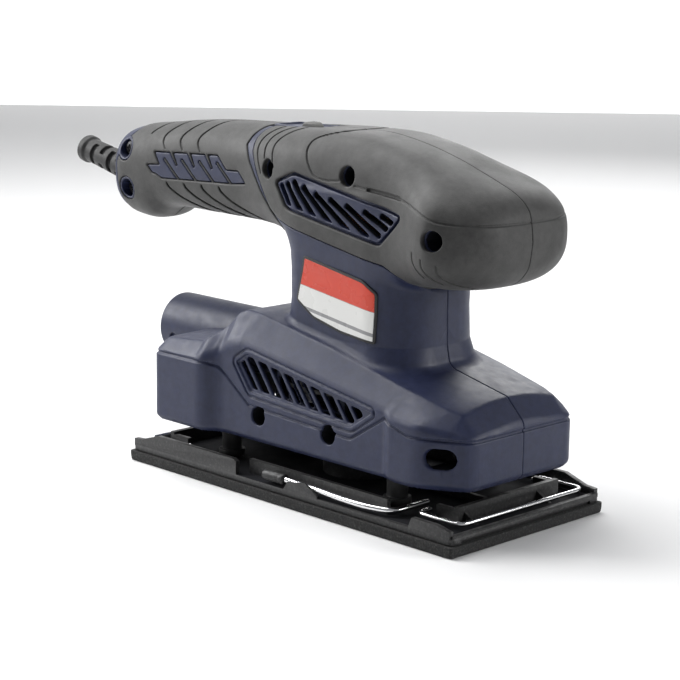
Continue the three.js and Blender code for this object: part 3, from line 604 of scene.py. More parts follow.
LOWER_VENT = [(-31.8, 52.6), (-25.1, 56.8), (45.6, 45.1), (34.3, 37.4), (-23.0, 41.2)]
LOWER_SLOTS = 10
LOWER_SLOT_FIRST = -23.7                  # x of the first slot's middle
LOWER_SLOT_LEVEL = 45.0                   # at this height
LOWER_SLOT_PITCH = 6.65
LOWER_SLOT_LEAN = 0.74                    # how far the slots lean, as run over rise
LOWER_SLOT_HALF = 2.3                     # half a slot's width, measured along x
NECK_LABEL = [(-4.8, 98.4), (-9.6, 79.8), (0.5, 73.6), (16, 70), (34.2, 68), (34.6, 88.2), (28, 92.4)]
HEAD_LINES = [
    [(13.9, 152), (4.6, 147.6), (-2.8, 144.7), (-4.5, 142), (-4, 138.6), (-1.6, 134), (2.6, 130.2),
     (9.7, 129.4), (15.5, 130)],
    [(24, 128.8), (38.5, 127.5), (52.3, 126), (63, 124), (73, 121), (84, 119.8), (96, 119.4)],
    [(-31, 150), (-36.6, 142.6), (-37.7, 138), (-36.2, 133.7), (-33.2, 128.1)],
    [(-24, 150), (-30.4, 143.4), (-32, 139), (-31.1, 134.2)],
    [(-17.7, 150), (-24.4, 142.8), (-25.8, 138.2), (-23.6, 131.5)],
]
HEAD_CHANNEL = [(31, 128), (49, 126.5)]
FINGER_LINE = [(61.5, 108.5), (61.0, 105.6), (62.4, 102.4), (65.4, 99.4)]
FINGER_LINES = 3                          # short lines under the palm knob's side
FINGER_PITCH = (6.0, -1.9)
SLEEVE_TOP_LINE = [(-93.6, 148), (-99, 141.6), (-102.6, 137.4), (-102.6, 134.6), (-100.4, 131.8)]
SLEEVE_LOW_LINE = [(-99.4, 117.2), (-97.6, 115), (-90, 110.8), (-79.4, 107), (-70, 104.6), (-62, 103)]
SLEEVE_PITCH = 11.75                      # from one line or notch to the next
TOP_RISE = 0.45                           # the upper lines and the notches climb this much each time
LOW_RISE = 0.5                            # and the lower lines and the slits this much
INLAY = [(-112.4, 124), (-109, 120.7), (-106.6, 120.5), (-102.9, 118.9), (-55.2, 121.2), (-46.2, 122.2),
         (-51.3, 126.8), (-59.2, 126.4), (-65.3, 132), (-107.6, 129.9), (-103.9, 124.7)]
INLAY_NOTCH = [(-99.1, 133), (-96.3, 133), (-92.0, 125.6), (-92.7, 125.0)]
INLAY_SLIT = [(-100.6, 127.2), (-89.8, 118)]


# ------------------------------------------------------------------ forms of the shells

def along(points):
    """A smooth function of one coordinate through the points."""
    line = np.array(smooth_line(points, 6))
    return lambda at: np.interp(at, line[:, 0], line[:, 1])


def straight(points):
    """A function of one coordinate that runs straight from point to point."""
    line = np.array(points, float)
    return lambda at: np.interp(at, line[:, 0], line[:, 1])


def distance_from(form, voxel):
    """Rescales a form so that its values near the surface are distances."""
    slopes = np.gradient(form, voxel)
    steep = np.sqrt(slopes[0] ** 2 + slopes[1] ** 2 + slopes[2] ** 2)
    return form / np.maximum(steep, 0.15)


def body_form(g):
    """Handle, head and palm knob as one flowing form."""
    x = g.axes[0]
    top, bottom = along(BODY_TOP)(x), along(BODY_BOTTOM)(x)
    half, power = along(BODY_HALF)(x), straight(BODY_SQUARE)(x)
    middle, tall = (top + bottom) / 2, (top - bottom) / 2
    shape = (-1, 1, 1)
    middle, tall, half, power = (v.reshape(shape).astype(np.float32) for v in (middle, tall, half, power))
    across = np.abs(g.y).astype(np.float32) / half
    upright = np.abs(g.z.astype(np.float32) - middle) / tall
    form = ((across ** power + upright ** power) ** (1 / power) - 1) * np.minimum(tall, half)
    return both(distance_from(form, g.voxel), between(g.x, *BODY_ENDS), 2.5)


def neck_form(g):
    """The upright neck between base and head."""
    z = g.axes[2]
    rear, front, half = straight(NECK_REAR)(z), straight(NECK_FRONT)(z), straight(NECK_HALF)(z)
    rear, front, half = (v.reshape(1, 1, -1).astype(np.float32) for v in (rear, front, half))
    middle = (rear + front) / 2
    corner = np.where(g.x < middle, NECK_REAR_CORNER, NECK_FRONT_CORNER).astype(np.float32)
    out_x = np.abs(g.x.astype(np.float32) - middle) - (front - rear) / 2 + corner
    out_y = np.abs(g.y).astype(np.float32) - half + corner
    outside = np.hypot(np.maximum(out_x, 0), np.maximum(out_y, 0))
    form = outside + np.minimum(np.maximum(out_x, out_y), 0) - corner
    return both(distance_from(form, g.voxel), (g.z - NECK_TOP).astype(np.float32), 1.0)


def softened(heights, passes):
    """A height map with its creases blurred."""
    for _ in range(passes):
        for axis in (0, 1):
            padded = np.pad(heights, [(1, 1) if a == axis else (0, 0) for a in (0, 1)], mode="edge")
            low = np.take(padded, range(0, heights.shape[axis]), axis)
            high = np.take(padded, range(2, heights.shape[axis] + 2), axis)
            heights = 0.25 * low + 0.5 * heights + 0.25 * high
    return heights


def base_plan(g):
    """Distance to the base's outline as seen from above."""
    outline = rounded(BASE_HALF_PLAN, 4.5)
    return g.plan(lambda x, y: outline_distance(x, np.abs(y), outline))


def base_top(g):
    """Height above the base's sloping top."""
    x = g.axes[0][:, None]
    out = np.abs(g.axes[1])[None, :]
    middle, ridge, flank = (straight(points)(x) for points in (TOP_MIDDLE, TOP_RIDGE, TOP_FLANK))
    ridge_out = straight(RIDGE_OUT)(x)
    outline = np.array(BASE_HALF_PLAN[1:-1])
    edge = np.interp(x, outline[:, 0], outline[:, 1])
    inner = middle + (ridge - middle) * (out / ridge_out) ** 2
    outer = ridge + (flank - ridge) * (out - ridge_out) / np.maximum(edge - ridge_out, 3.0)
    heights = softened(np.where(out < ridge_out, inner, outer), RIDGE_SOFTENING)
    slope_x, slope_y = np.gradient(heights, g.voxel)
    steep = np.sqrt(1 + slope_x ** 2 + slope_y ** 2)
    return ((g.z - heights[:, :, None]) / steep[:, :, None]).astype(np.float32)


def base_form(g):
    """The broad base over the pad."""
    plan, top = base_plan(g), base_top(g)
    under = (BASE_BOTTOM - g.z).astype(np.float32)
    chamfer = (plan + under + BASE_CHAMFER) * 0.7071
    body = both(both(both(plan, top, 1.4), chamfer, 0.6), under, 0.4)
    fairing = bar_x(g, DUST_AXIS_Z, DUST_TUBE, DUST_SEAT, DUST_FAIRING)
    return either(body, fairing, 0.8)


def inlay_zone(g):
    """The zigzag of hard plastic that shows through the sleeve."""
    zone = flank_zone(g, INLAY, 0.5)
    for i in range(3):
        zone = np.maximum(zone, -flank_zone(g, shifted(INLAY_NOTCH, i * SLEEVE_PITCH, i * TOP_RISE)))
    for i in range(4):
        slit = flank_line(g, shifted(INLAY_SLIT, i * SLEEVE_PITCH, i * LOW_RISE), smooth=False)
        zone = np.maximum(zone, 0.6 - slit)
    return zone


# ------------------------------------------------------------------ screws that hold the casing

HANDLE_SCREWS = ["handle_screw_upper", "handle_screw_lower"]
HEAD_SCREWS = ["collar_screw", "head_screw", "palm_screw"]
BASE_SCREWS = ["flank_screw_rear", "flank_screw_front", "nose_screw"]
CASING_SCREWS = HANDLE_SCREWS + HEAD_SCREWS + BASE_SCREWS
SCREW_RECESS = 3.9
SCREW_BOSS = 5.4
SCREW_HOLE = 1.8
NOSE_MOUTH = 1.7                          # half the straight part of the nose screw's oval recess
SCREW_HEAD_DEPTH = 2.7                    # head height and the gap under it
RING = 1.1                                # hard plastic ring round the handle screws


def screw_place(name):
    """Centre of a casing screw on the flank, and how far out its seat is."""
    low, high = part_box(name)
    return (low.x + high.x) / 2 / MM, (low.z + high.z) / 2 / MM, -low.y / MM - SCREW_HEAD_DEPTH


# ------------------------------------------------------------------ cable boot

BOOT_ROOT = (-138.0, 115.5)               # x and z where the neck meets the tilted sleeve
BOOT_TILT = math.radians(12)
BOOT_LENGTH = 42.0
BOOT_BORE = 3.4
BOOT_NECK = 5.8                           # radius of the neck that goes through the casing's rear wall
BOOT_NECK_SPAN = (-2.4, 4.9)              # its ends, in front of the root
BOOT_COLLAR = 7.3                         # radius of the collar that a groove in the wall holds
BOOT_COLLAR_SPAN = (1.7, 3.3)
BOOT_THICK = 6.3                          # radius of the sleeve at its root
BOOT_TAPER = 0.9                          # how much thinner it is near its end
BOOT_SLOTS = 5
BOOT_SLOT_FIRST = 6.4                     # from the root to the middle of the first slot
BOOT_SLOT_PITCH = 6.3
BOOT_SLOT_HALF = 1.7                      # half the length of the first slot
BOOT_SLOT_FLOOR = 4.3                     # radius at the bottom of the slots
BOOT_RING = 2.0                           # half the length of the flared end ring
BOOT_CUP = (4.8, 1.4)                     # radius and depth of the hollow in the ring's end


# ------------------------------------------------------------------ casing

def hard_surface(g, upper):
    """Outside of the hard casing's upper part, stepped down where rubber lies on it."""
    head = flank_zone(g, HEAD_ZONE) - SKIN_GAP
    head = np.maximum(head, -(flank_zone(g, UPPER_VENT, 1.6) + 0.3))
    sleeve = flank_zone(g, SLEEVE_ZONE) - SKIN_GAP
    sleeve = np.maximum(sleeve, -(inlay_zone(g) + 0.15))
    for name in HANDLE_SCREWS:
        x, z, _ = screw_place(name)
        sleeve = np.maximum(sleeve, -flank_disc(g, x, z, SCREW_RECESS + RING))
    return both(upper + 0.3, either(-np.minimum(head, sleeve), upper + RUBBER, 0.3), 0.3)


def with_lower_vent(g, form):
    """Sinks the lower vent's frame and cuts its slots."""
    outline = flank_zone(g, LOWER_VENT, 1.2)
    form = engrave(form, np.abs(outline - 1.9), 0.42, 0.7)
    form = step_down(form, outline, 1.0, 0.3)
    upright = 1 / math.hypot(1, LOWER_SLOT_LEAN)

    def bars(x, z):
        across = (x - LOWER_SLOT_FIRST + (z - LOWER_SLOT_LEVEL) * LOWER_SLOT_LEAN) / LOWER_SLOT_PITCH
        nearest = np.clip(np.round(across), 0, LOWER_SLOTS - 1)
        return (np.abs(across - nearest) * LOWER_SLOT_PITCH - LOWER_SLOT_HALF) * upright

    slots = both(g.side(bars), outline + 1.3, 0.6)
    depth = (LOWER_SLOTS_TO - np.abs(g.y)).astype(np.float32)
    return without(form, np.maximum(slots, depth), 0.3)


def with_upper_vent(g, form):
    """Cuts the fan of slots in the upper vent."""
    depth = (UPPER_SLOTS_TO - np.abs(g.y)).astype(np.float32)
    lines = [flank_line(g, list(ends), smooth=False) for ends in UPPER_SLOTS]
    slots = np.minimum.reduce(lines) - UPPER_SLOT_HALF
    slots = both(slots, flank_zone(g, UPPER_VENT, 1.6) + 1.0, 0.4)
    return without(form, np.maximum(slots, depth), 0.35)


SKIRT = 8                                 # the base's walls stand free up to this height
RIB_MARGIN = 4                            # the bearings' ribs reach this far past them
CLAMP_ROOT = 90                           # the cable clamp's pedestal stands on the handle's underside
SCROLL_GAP = 2                            # room between the fan and the wall round it
SCROLL_WALL = 1.4
LEFT_LEGS = ["rubber_leg_1", "rubber_leg_3"]
INNER_FOOT = 22                           # the lowest height of the walls inside the base
SOCKET_WALL = 2.4                         # wall of a leg's socket
SOCKET_TOP = 36
WEB_HALF = 1.5                            # half the thickness of the web from a socket to the flank
WEB_OUT = -43                             # the y that the web reaches out to
WEB_FOOT = 24


def bearing_rib(g, node):
    """A rib across the casing with a seat for a bearing."""
    low, high = box_room(node)
    axis = (low[0] + high[0]) / 2
    seat = (high[0] - low[0]) / 2
    rear, front = low[0] - RIB_MARGIN, high[0] + RIB_MARGIN
    rib = block(g, (rear, -BEYOND, low[2] - 0.3), (front, BEYOND, high[2] + 0.3))
    return np.maximum(rib, -bar_z(g, axis, 0, seat, low[2] - 1, high[2] + 1))


def fan_scroll(g):
    """The round wall that keeps the fan's air in."""
    low, high = box_room("suction_fan")
    axis, radius = (low[0] + high[0]) / 2, (high[0] - low[0]) / 2 + SCROLL_GAP
    wall = bar_z(g, axis, 0, radius + SCROLL_WALL, INNER_FOOT, high[2] + 1)
    return np.maximum(wall, -bar_z(g, axis, 0, radius, 0, high[2] + 2))


def with_leg_socket(g, ribs, room, leg):
    """Adds the socket that holds the top of a rubber leg, with a web to the flank."""
    low, high = box_room(leg)
    x, y, radius = (low[0] + high[0]) / 2, (low[1] + high[1]) / 2, (high[0] - low[0]) / 2
    web = block(g, (x - WEB_HALF, WEB_OUT, WEB_FOOT), (x + WEB_HALF, y, SOCKET_TOP))
    post = np.minimum(bar_z(g, x, y, radius + SOCKET_WALL, INNER_FOOT, SOCKET_TOP), web)
    ribs = np.minimum(ribs, np.maximum(post, room - 1.0))
    return np.maximum(ribs, -bar_z(g, x, y, radius, 0, high[2]))


def inside_ribs(g, room):
    """Bearing seats, the clamp's pedestal, the fan's scroll and the leg sockets."""
    ribs = np.minimum(bearing_rib(g, "lower_bearing"), bearing_rib(g, "upper_bearing"))
    low, high = box_room("cable_clamp")
    pedestal = block(g, (low[0], -BEYOND, CLAMP_ROOT), (high[0], BEYOND, low[2]))
    ribs = np.minimum(np.minimum(ribs, pedestal), fan_scroll(g))
    ribs = np.maximum(ribs, room)
    for leg in LEFT_LEGS:
        ribs = with_leg_socket(g, ribs, room, leg)
    return ribs


def casing_room(g, upper, neck, base):
    """The hollow inside the casing's walls, open below the base."""
    room = np.minimum(np.minimum(upper + RUBBER + WALL, neck + WALL + 0.3), base + WALL)
    skirt = (g.z - BASE_BOTTOM - SKIRT).astype(np.float32)
    return np.minimum(room, np.maximum(base_plan(g) + WALL, skirt))


def with_bosses(g, form, outside):
    """Adds a boss round each casing screw, as far out as the outside."""
    for name in CASING_SCREWS:
        x, z, _ = screw_place(name)
        form = np.minimum(form, np.maximum(flank_disc(g, x, z, SCREW_BOSS), outside))
    return form


def with_screw_holes(g, form):
    """Sinks a recess for each screw's head, an oval one at the nose, and drills its hole."""
    for name in CASING_SCREWS:
        x, z, seat = screw_place(name)
        mouth = flank_disc(g, x, z, SCREW_RECESS)
        if name == "nose_screw":
            mouth = flank_line(g, [(x - NOSE_MOUTH, z), (x + NOSE_MOUTH, z)], smooth=False) - SCREW_RECESS
        recess = np.maximum(mouth, (seat - np.abs(g.y)).astype(np.float32))
        form = without(form, recess, 0.45)
        form = np.maximum(form, -flank_disc(g, x, z, SCREW_HOLE))
    return form


def with_openings(g, form):
    """Leaves room for the switch's frame, the cable boot and the dust tube."""
    low, high = box_room("switch_bezel", 0.2)
    x, z = BOOT_ROOT
    groove = [x + BOOT_COLLAR_SPAN[0] - 0.1, x + BOOT_COLLAR_SPAN[1] + 0.1]
    for opening in (
        block(g, (low[0], low[1], BEZEL_SEAT), (high[0], high[1], ABOVE)),
        bar_x(g, z, BOOT_NECK + 0.3, BEHIND, x + 8),
        bar_x(g, z, BOOT_COLLAR + 0.3, *groove),
        bar_x(g, DUST_AXIS_Z, DUST_TUBE + 0.25, BEHIND, DUST_SEAT),
    ):
        form = np.maximum(form, -opening)
    return form


def casing_left():
    """The left half of the hard casing, and which of its faces are deep in slots and hollows."""
    g = Grid((-140, -45.5, 18.6), (92, 1.5, 149.2), VOXEL)
    neck = neck_form(g)
    upper = either(body_form(g), neck, 3.0)
    base = base_form(g)
    hard = either(hard_surface(g, upper), base, NECK_FILLET)
    hard = engrave(hard, flank_line(g, BELT_LINE, smooth=False), 0.5, 0.8)
    outside = with_lower_vent(g, hard)
    room = casing_room(g, upper, neck, base)
    shell = np.maximum(outside, -room)
    shell = np.minimum(shell, np.maximum(inside_ribs(g, room - 0.6), outside + 0.6))
    shell = with_bosses(g, shell, outside)
    shell = with_upper_vent(g, shell)
    shell = with_openings(g, with_screw_holes(g, shell))
    shell = both(shell, (g.y + SPLIT).astype(np.float32), 0.3)
    piece = sculpt("casing_left", shell, g)
    return piece, deep_faces(piece, outside, g)


# ------------------------------------------------------------------ rubber skins

def skin_layer(upper, zone):
    """The layer of rubber over a zone, with a rounded rim."""
    return np.maximum(both(upper, zone, 0.8), -(upper + RUBBER - 0.2))


def with_round_holes(g, form, screws, radius, edge):
    """Opens a form over each of the given screws."""
    for name in screws:
        x, z, _ = screw_place(name)
        form = without(form, flank_disc(g, x, z, radius), edge)
    return form


def seamed_skin(name, g, skin):
    """The skin's left half as a mesh, with half the middle seam."""
    return sculpt(name, both(skin, (g.y + SKIN_SPLIT).astype(np.float32), 0.25), g)


def head_skin_left():
    """Rubber over the head and palm knob."""
    g = Grid((-47, -39.5, 90), (91.5, 1.2, 149.2), SKIN_VOXEL)
    upper = either(body_form(g), neck_form(g), 3.0)
    window = flank_zone(g, UPPER_VENT, 1.6) - 0.95
    zone = both(flank_zone(g, HEAD_ZONE), -window, 0.1)
    for points in HEAD_LINES:
        upper = engrave(upper, flank_line(g, points), 0.34, 0.55)
    step_x, step_z = FINGER_PITCH
    for i in range(FINGER_LINES):
        line = shifted(FINGER_LINE, i * step_x, i * step_z)
        upper = engrave(upper, flank_line(g, line), 0.3, 0.6)
    upper = engrave(upper, flank_line(g, HEAD_CHANNEL, smooth=False), 0.75, 0.8)
    skin = with_round_holes(g, skin_layer(upper, zone), HEAD_SCREWS, SCREW_RECESS + 0.1, 0.5)
    low, high = box_room("switch_bezel", 0.15)
    skin = np.maximum(skin, -block(g, (low[0], -high[1], BEZEL_SEAT), (high[0], high[1], ABOVE)))
    return seamed_skin("head_skin_left", g, skin)


def sleeve_skin_left():
    """Rubber sleeve of the handle."""
    g = Grid((-139.5, -28, 96.5), (-18, 1.2, 148), SKIN_VOXEL)
    upper = either(body_form(g), neck_form(g), 3.0)
    zone = np.maximum(flank_zone(g, SLEEVE_ZONE), -(inlay_zone(g) - 0.2))
    for i in range(-1, 3):
        line = shifted(SLEEVE_TOP_LINE, i * SLEEVE_PITCH, i * TOP_RISE)
        upper = engrave(upper, flank_line(g, line[:3] if i < 0 else line), 0.34, 0.6)
    for i in range(4):
        line = shifted(SLEEVE_LOW_LINE, i * SLEEVE_PITCH, i * LOW_RISE)
        upper = engrave(upper, flank_line(g, line), 0.5, 1.0)
    skin = with_round_holes(g, skin_layer(upper, zone), HANDLE_SCREWS, SCREW_RECESS + RING + 0.25, 0.4)
    return seamed_skin("sleeve_skin_left", g, skin)


def label_plate(name, inset, lift):
    """A thin plate lying on the neck's flank."""
    g = Grid((-12, -29.5, 66), (37, -22, 100.5), 0.22)
    neck = neck_form(g)
    zone = flank_zone(g, NECK_LABEL, 1.4) + inset
    plate = np.maximum(both(neck - lift, zone, 0.12), -(neck - lift + 0.8))
    return sculpt(name, plate, g, budget=14_000)


# ------------------------------------------------------------------ small moulded pieces

def grid_round(node, voxel, margin=1.2):
    """A sampling grid round a CAD node."""
    low, high = box_room(node, margin)
    return Grid(low, high, voxel)


def switch_bezel():
    """The frame round the switch's slot, with a raised rim."""
    g = grid_round("switch_bezel", 0.3)
    low, high = box_room("switch_bezel", 0.0)
    outline = rounded_plan(g, low, high, BEZEL_CORNER)
    frame_form = both(outline, between(g.z, low[2], high[2]), 0.6)
    dish = rounded_plan(g, (low[0] + 1.6, low[1] + 1.5), (high[0] - 1.6, high[1] - 1.5), 2.2)
    frame_form = without(frame_form, np.maximum(dish, (high[2] - 0.8 - g.z).astype(np.float32)), 0.25)
    knob_low, knob_high = box_room("switch_knob", 0.4)
    front = knob_high[0] + SWITCH_TRAVEL
    slot = rounded_plan(g, (knob_low[0], -SWITCH_SLOT_HALF), (front, SWITCH_SLOT_HALF), 1.6)
    frame_form = without(frame_form, slot, 0.3)
    track = block(g, (knob_low[0], knob_low[1], low[2] - 2), (front, knob_high[1], low[2] + 1.9))
    return sculpt("switch_frame", np.maximum(frame_form, -track), g, budget=20_000)


CAP_INSET = 1.5                           # the knob's cap stands in from its flange's ends
CAP_SIDE_INSET = 2.7                      # and from its sides
FLANGE_HEIGHT = 1.3
GRIP_LINES = 4
GRIP_PITCH = 1.3


def switch_knob():
    """The sliding thumb knob, with grip lines across its crown."""
    g = grid_round("switch_knob", 0.22)
    low, high = box_room("switch_knob", 0.0)
    rear, front = low[0] + CAP_INSET, high[0] - CAP_INSET
    crown, foot = high[2], low[2] + FLANGE_HEIGHT
    half = (high[1] - low[1]) / 2 - CAP_SIDE_INSET
    side = g.side(lambda x, z: outline_distance(x, z, rounded([
        (rear, foot - 1), (rear, crown - 1.6), (rear + 1.5, crown), (front - 2, crown), (front, crown - 1.8),
        (front, foot - 1),
    ], 1.0)))
    cap = both(side, (np.abs(g.y) - half).astype(np.float32), 0.9)
    for i in range(GRIP_LINES):
        middle = rear + 1.9 + GRIP_PITCH * i
        groove = np.hypot(g.x - middle, g.z - crown - 0.15).astype(np.float32) - 0.45
        cap = without(cap, groove, 0.15)
    flange = both(rounded_plan(g, low, high, 1.0), between(g.z, low[2], foot), 0.2)
    return sculpt("switch_thumb_knob", np.minimum(cap, flange), g, budget=16_000)


def dust_tube():
    """The round port for a dust bag, with a blind bayonet hole near its rim."""
    g = grid_round("dust_port", 0.45)
    low, high = box_room("dust_port", 0.0)
    radius, middle = (high[2] - low[2]) / 2, (high[2] + low[2]) / 2
    ring = np.hypot(g.y, g.z - middle).astype(np.float32)
    tube = both(np.maximum(ring - radius, DUST_BORE - ring), between(g.x, low[0], high[0]), 0.7)
    hole = flank_disc(g, low[0] + DUST_HOLE_IN, middle - DUST_HOLE_DROP, DUST_HOLE)
    blind = np.maximum((g.y + 4).astype(np.float32), DUST_BORE + DUST_HOLE_FLOOR - ring)
    hole = np.maximum(hole, blind)
    return sculpt("dust_port_tube", without(tube, hole, 0.35), g, budget=40_000)


def boot_sleeve():
    """The strain relief: a tapered sleeve cut by staggered slots, with a flared end ring."""
    g = grid_round("strain_relief_boot", 0.33, 1.0)
    root_x, root_z = BOOT_ROOT
    back = -((g.x - root_x) * math.cos(BOOT_TILT) - (g.z - root_z) * math.sin(BOOT_TILT))
    up = (g.x - root_x) * math.sin(BOOT_TILT) + (g.z - root_z) * math.cos(BOOT_TILT)
    ring = np.hypot(g.y, up).astype(np.float32)
    angle = np.arctan2(up, g.y + 0 * up)
    back = back.astype(np.float32) + 0 * ring
    radius = BOOT_THICK - BOOT_TAPER * np.clip(back / 37, 0, 1)
    sleeve = both(ring - radius, np.maximum(1.0 - back, back - BOOT_LENGTH + 0.8), 0.5)
    for i in range(BOOT_SLOTS):
        middle = BOOT_SLOT_FIRST + BOOT_SLOT_PITCH * i
        turn = angle + (math.pi / 2 if i % 2 else 0)
        spread = (np.abs(np.cos(turn)) - 0.42) * 5
        slot = both(np.abs(back - middle) - (BOOT_SLOT_HALF - 0.1 * i), -spread, 0.5)
        sleeve = without(sleeve, np.maximum(slot, BOOT_SLOT_FLOOR - ring), 0.3)
    flare = both(ring - BOOT_THICK, np.abs(back - BOOT_LENGTH + BOOT_RING) - BOOT_RING, 0.9)
    tail = either(sleeve, flare, 1.2)
    cup_radius, cup_depth = BOOT_CUP
    tail = without(tail, np.maximum(ring - cup_radius, BOOT_LENGTH - cup_depth - back), 0.3)
    tail = np.maximum(tail, BOOT_BORE - ring)
    level = np.hypot(g.y, g.z - root_z).astype(np.float32)
    ahead = g.x - root_x
    neck = np.maximum(level - BOOT_NECK, between(ahead, *BOOT_NECK_SPAN))
    collar = np.maximum(level - BOOT_COLLAR, between(ahead, *BOOT_COLLAR_SPAN))
    root = np.maximum(np.minimum(neck, collar), BOOT_BORE - level)
    return sculpt("cable_boot", np.minimum(tail, root).astype(np.float32), g, budget=50_000)


HEAD_RADIUS = 3.3
HEAD_DOME = 5.2                           # radius of the head's crown
CROSS_HALF = 0.42                         # half the width of the cross recess
CROSS_REACH = 1.9                         # its reach from the axis, and its depth
THREAD_RADIUS = 1.42
THREAD_HEIGHT = 0.16
THREAD_PITCH = 1.3


def casing_screw(node):
    """A pan-head screw with a cross recess and a coarse thread."""
    g = grid_round(node, 0.21, 0.6)
    low, high = box_room(node, 0.0)
    x, z = (low[0] + high[0]) / 2, (low[2] + high[2]) / 2
    ring = np.hypot(g.x - x, g.z - z).astype(np.float32)
    deep = (g.y - low[1]).astype(np.float32) + 0 * ring
    dome = np.sqrt(ring ** 2 + (deep - HEAD_DOME) ** 2) - HEAD_DOME
    head = both(both(ring - HEAD_RADIUS, deep - SCREW_HEAD_DEPTH + 0.3, 0.3), dome, 0.3)
    arm = np.minimum(np.abs(g.x - x) + 0 * ring, np.abs(g.z - z) + 0 * ring) - CROSS_HALF
    reach = ring - (CROSS_REACH - 0.5 * deep)
    head = np.maximum(head, -np.maximum(np.maximum(arm, reach), deep - CROSS_REACH))
    thread = THREAD_RADIUS + THREAD_HEIGHT * np.cos(deep * math.tau / THREAD_PITCH)
    end = high[1] - low[1]
    shank = both(ring - thread * np.clip((end - deep) / 2.0 + 0.35, 0, 1), deep - end, 0.2)
    field = np.minimum(head, np.maximum(shank, 1.0 - deep))
    return sculpt(f"{node}_detail", field.astype(np.float32), g, budget=9_000)


# ------------------------------------------------------------------ pad, tray, legs and wires

def loft(name, loops):
    """A closed skin through loops of equal length, with flat ends. Loops are in millimetres."""
    work = bmesh.new()
    rows = [[work.verts.new(Vector(p) * MM) for p in loop] for loop in loops]
    for low, high in zip(rows, rows[1:]):
        for i in range(len(low)):
            j = (i + 1) % len(low)
            work.faces.new((low[i], low[j], high[j], high[i]))
    work.faces.new(list(reversed(rows[0])))
    work.faces.new(rows[-1])
    bmesh.ops.recalc_face_normals(work, faces=work.faces)
    mesh = bpy.data.meshes.new(name)
    work.to_mesh(mesh)
    work.free()
    for polygon in mesh.polygons:
        polygon.use_smooth = len(polygon.vertices) == 4
    return link(name, mesh)


def rounded_loop(half_x, half_y, corner, z, steps=10):
    """A rounded rectangle at a height."""
    points = []
    for sign_x, sign_y, start in ((1, 1, 0), (-1, 1, 1), (-1, -1, 2), (1, -1, 3)):
        for i in range(steps + 1):
            angle = (start + i / steps) * math.pi / 2
            x = sign_x * (half_x - corner) + corner * math.cos(angle)
            y = sign_y * (half_y - corner) + corner * math.sin(angle)
            points.append((x, y, z))
    return points


def foam_pad():
    """The foam pad, its sides bellied and its rims soft."""
    low, high = box_room("foam_pad", 0.0)
    half_x, half_y, thick = high[0], high[1], high[2] - low[2]
    levels = 12
    loops = []
    for i in range(levels + 1):
        angle = math.pi * i / levels
        height = thick * (1 - math.cos(angle)) / 2
        inset = 0.35 * (1 - math.sin(angle) ** 0.6) + 0.4 * (1 - i / levels)
        loops.append(rounded_loop(half_x - inset, half_y - inset, 1.3, low[2] + height))
    return loft("foam_sole", loops)


def softened_copy(node, name, width=0.22):
    """The CAD node's own shape, with its sharp edges rounded by a width in millimetres."""
    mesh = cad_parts[node].data.copy()
    mesh.name = name
    work = bmesh.new()
    work.from_mesh(mesh)
    bmesh.ops.remove_doubles(work, verts=work.verts, dist=1e-6)
    bmesh.ops.dissolve_limit(work, angle_limit=math.radians(1.5), verts=work.verts, edges=work.edges)
    work.to_mesh(mesh)
    work.free()
    mesh.materials.clear()
    piece = link(name, mesh)
    bevel = piece.modifiers.new("soft_edges", "BEVEL")
    bevel.width = width * MM
    bevel.segments = 2
    bevel.limit_method = "ANGLE"
    bevel.angle_limit = math.radians(28)
    bevel.harden_normals = True
    mesh.polygons.foreach_set("use_smooth", np.ones(len(mesh.polygons), bool))
    return piece


def bent(corners, radius):
    """A wire's path: straight runs with round bends."""
    path = [np.array(corners[0], float)]
    for before, here, after in zip(corners, corners[1:], corners[2:]):
        path += bend(before, here, after, radius, 0.48, 6)
    path.append(np.array(corners[-1], float))
    return path


def rod(name, path, radius, sides=14):
    """A round rod along a path, with domed ends."""
    points = [np.array(p, float) for p in path]
    tangents = []
    for i in range(len(points)):
        way = points[min(i + 1, len(points) - 1)] - points[max(i - 1, 0)]
        tangents.append(way / np.linalg.norm(way))
    side = np.cross(tangents[0], (0.3, 0.2, 1.0))
    dome = (0.25, 0.8, math.pi / 2)       # angles of the rings that round an end off
    rings = []
    for i, (point, tangent) in enumerate(zip(points, tangents)):
        side = side - tangent * np.dot(side, tangent)
        side /= np.linalg.norm(side)
        other = np.cross(tangent, side)
        stations = [(0.0, 1.0)]
        if i == 0:
            stations = [(-math.cos(a), math.sin(a)) for a in dome]
        if i == len(points) - 1:
            stations = [(math.cos(a), math.sin(a)) for a in reversed(dome)]
        for push, size in stations:
            shift = push * radius * 0.6
            centre = point + tangent * shift
            ring = []
            for k in range(sides):
                angle = math.tau * k / sides
                ring.append(centre + radius * size * (side * math.cos(angle) + other * math.sin(angle)))
            rings.append(ring)
    return loft(name, rings)


def turned_about_z(points):
    """The same path on the other end of the machine."""
    return [(-x, -y, z) for x, y, z in points]


def turned_along_x(name, profile, y, z, sides=40):
    """A round piece on an axis along x, from pairs of length and radius."""
    rings = []
    for at, radius in profile:
        turns = [math.tau * k / sides for k in range(sides)]
        rings.append([(at, y + radius * math.cos(turn), z + radius * math.sin(turn)) for turn in turns])
    return loft(name, rings)


# ------------------------------------------------------------------ materials

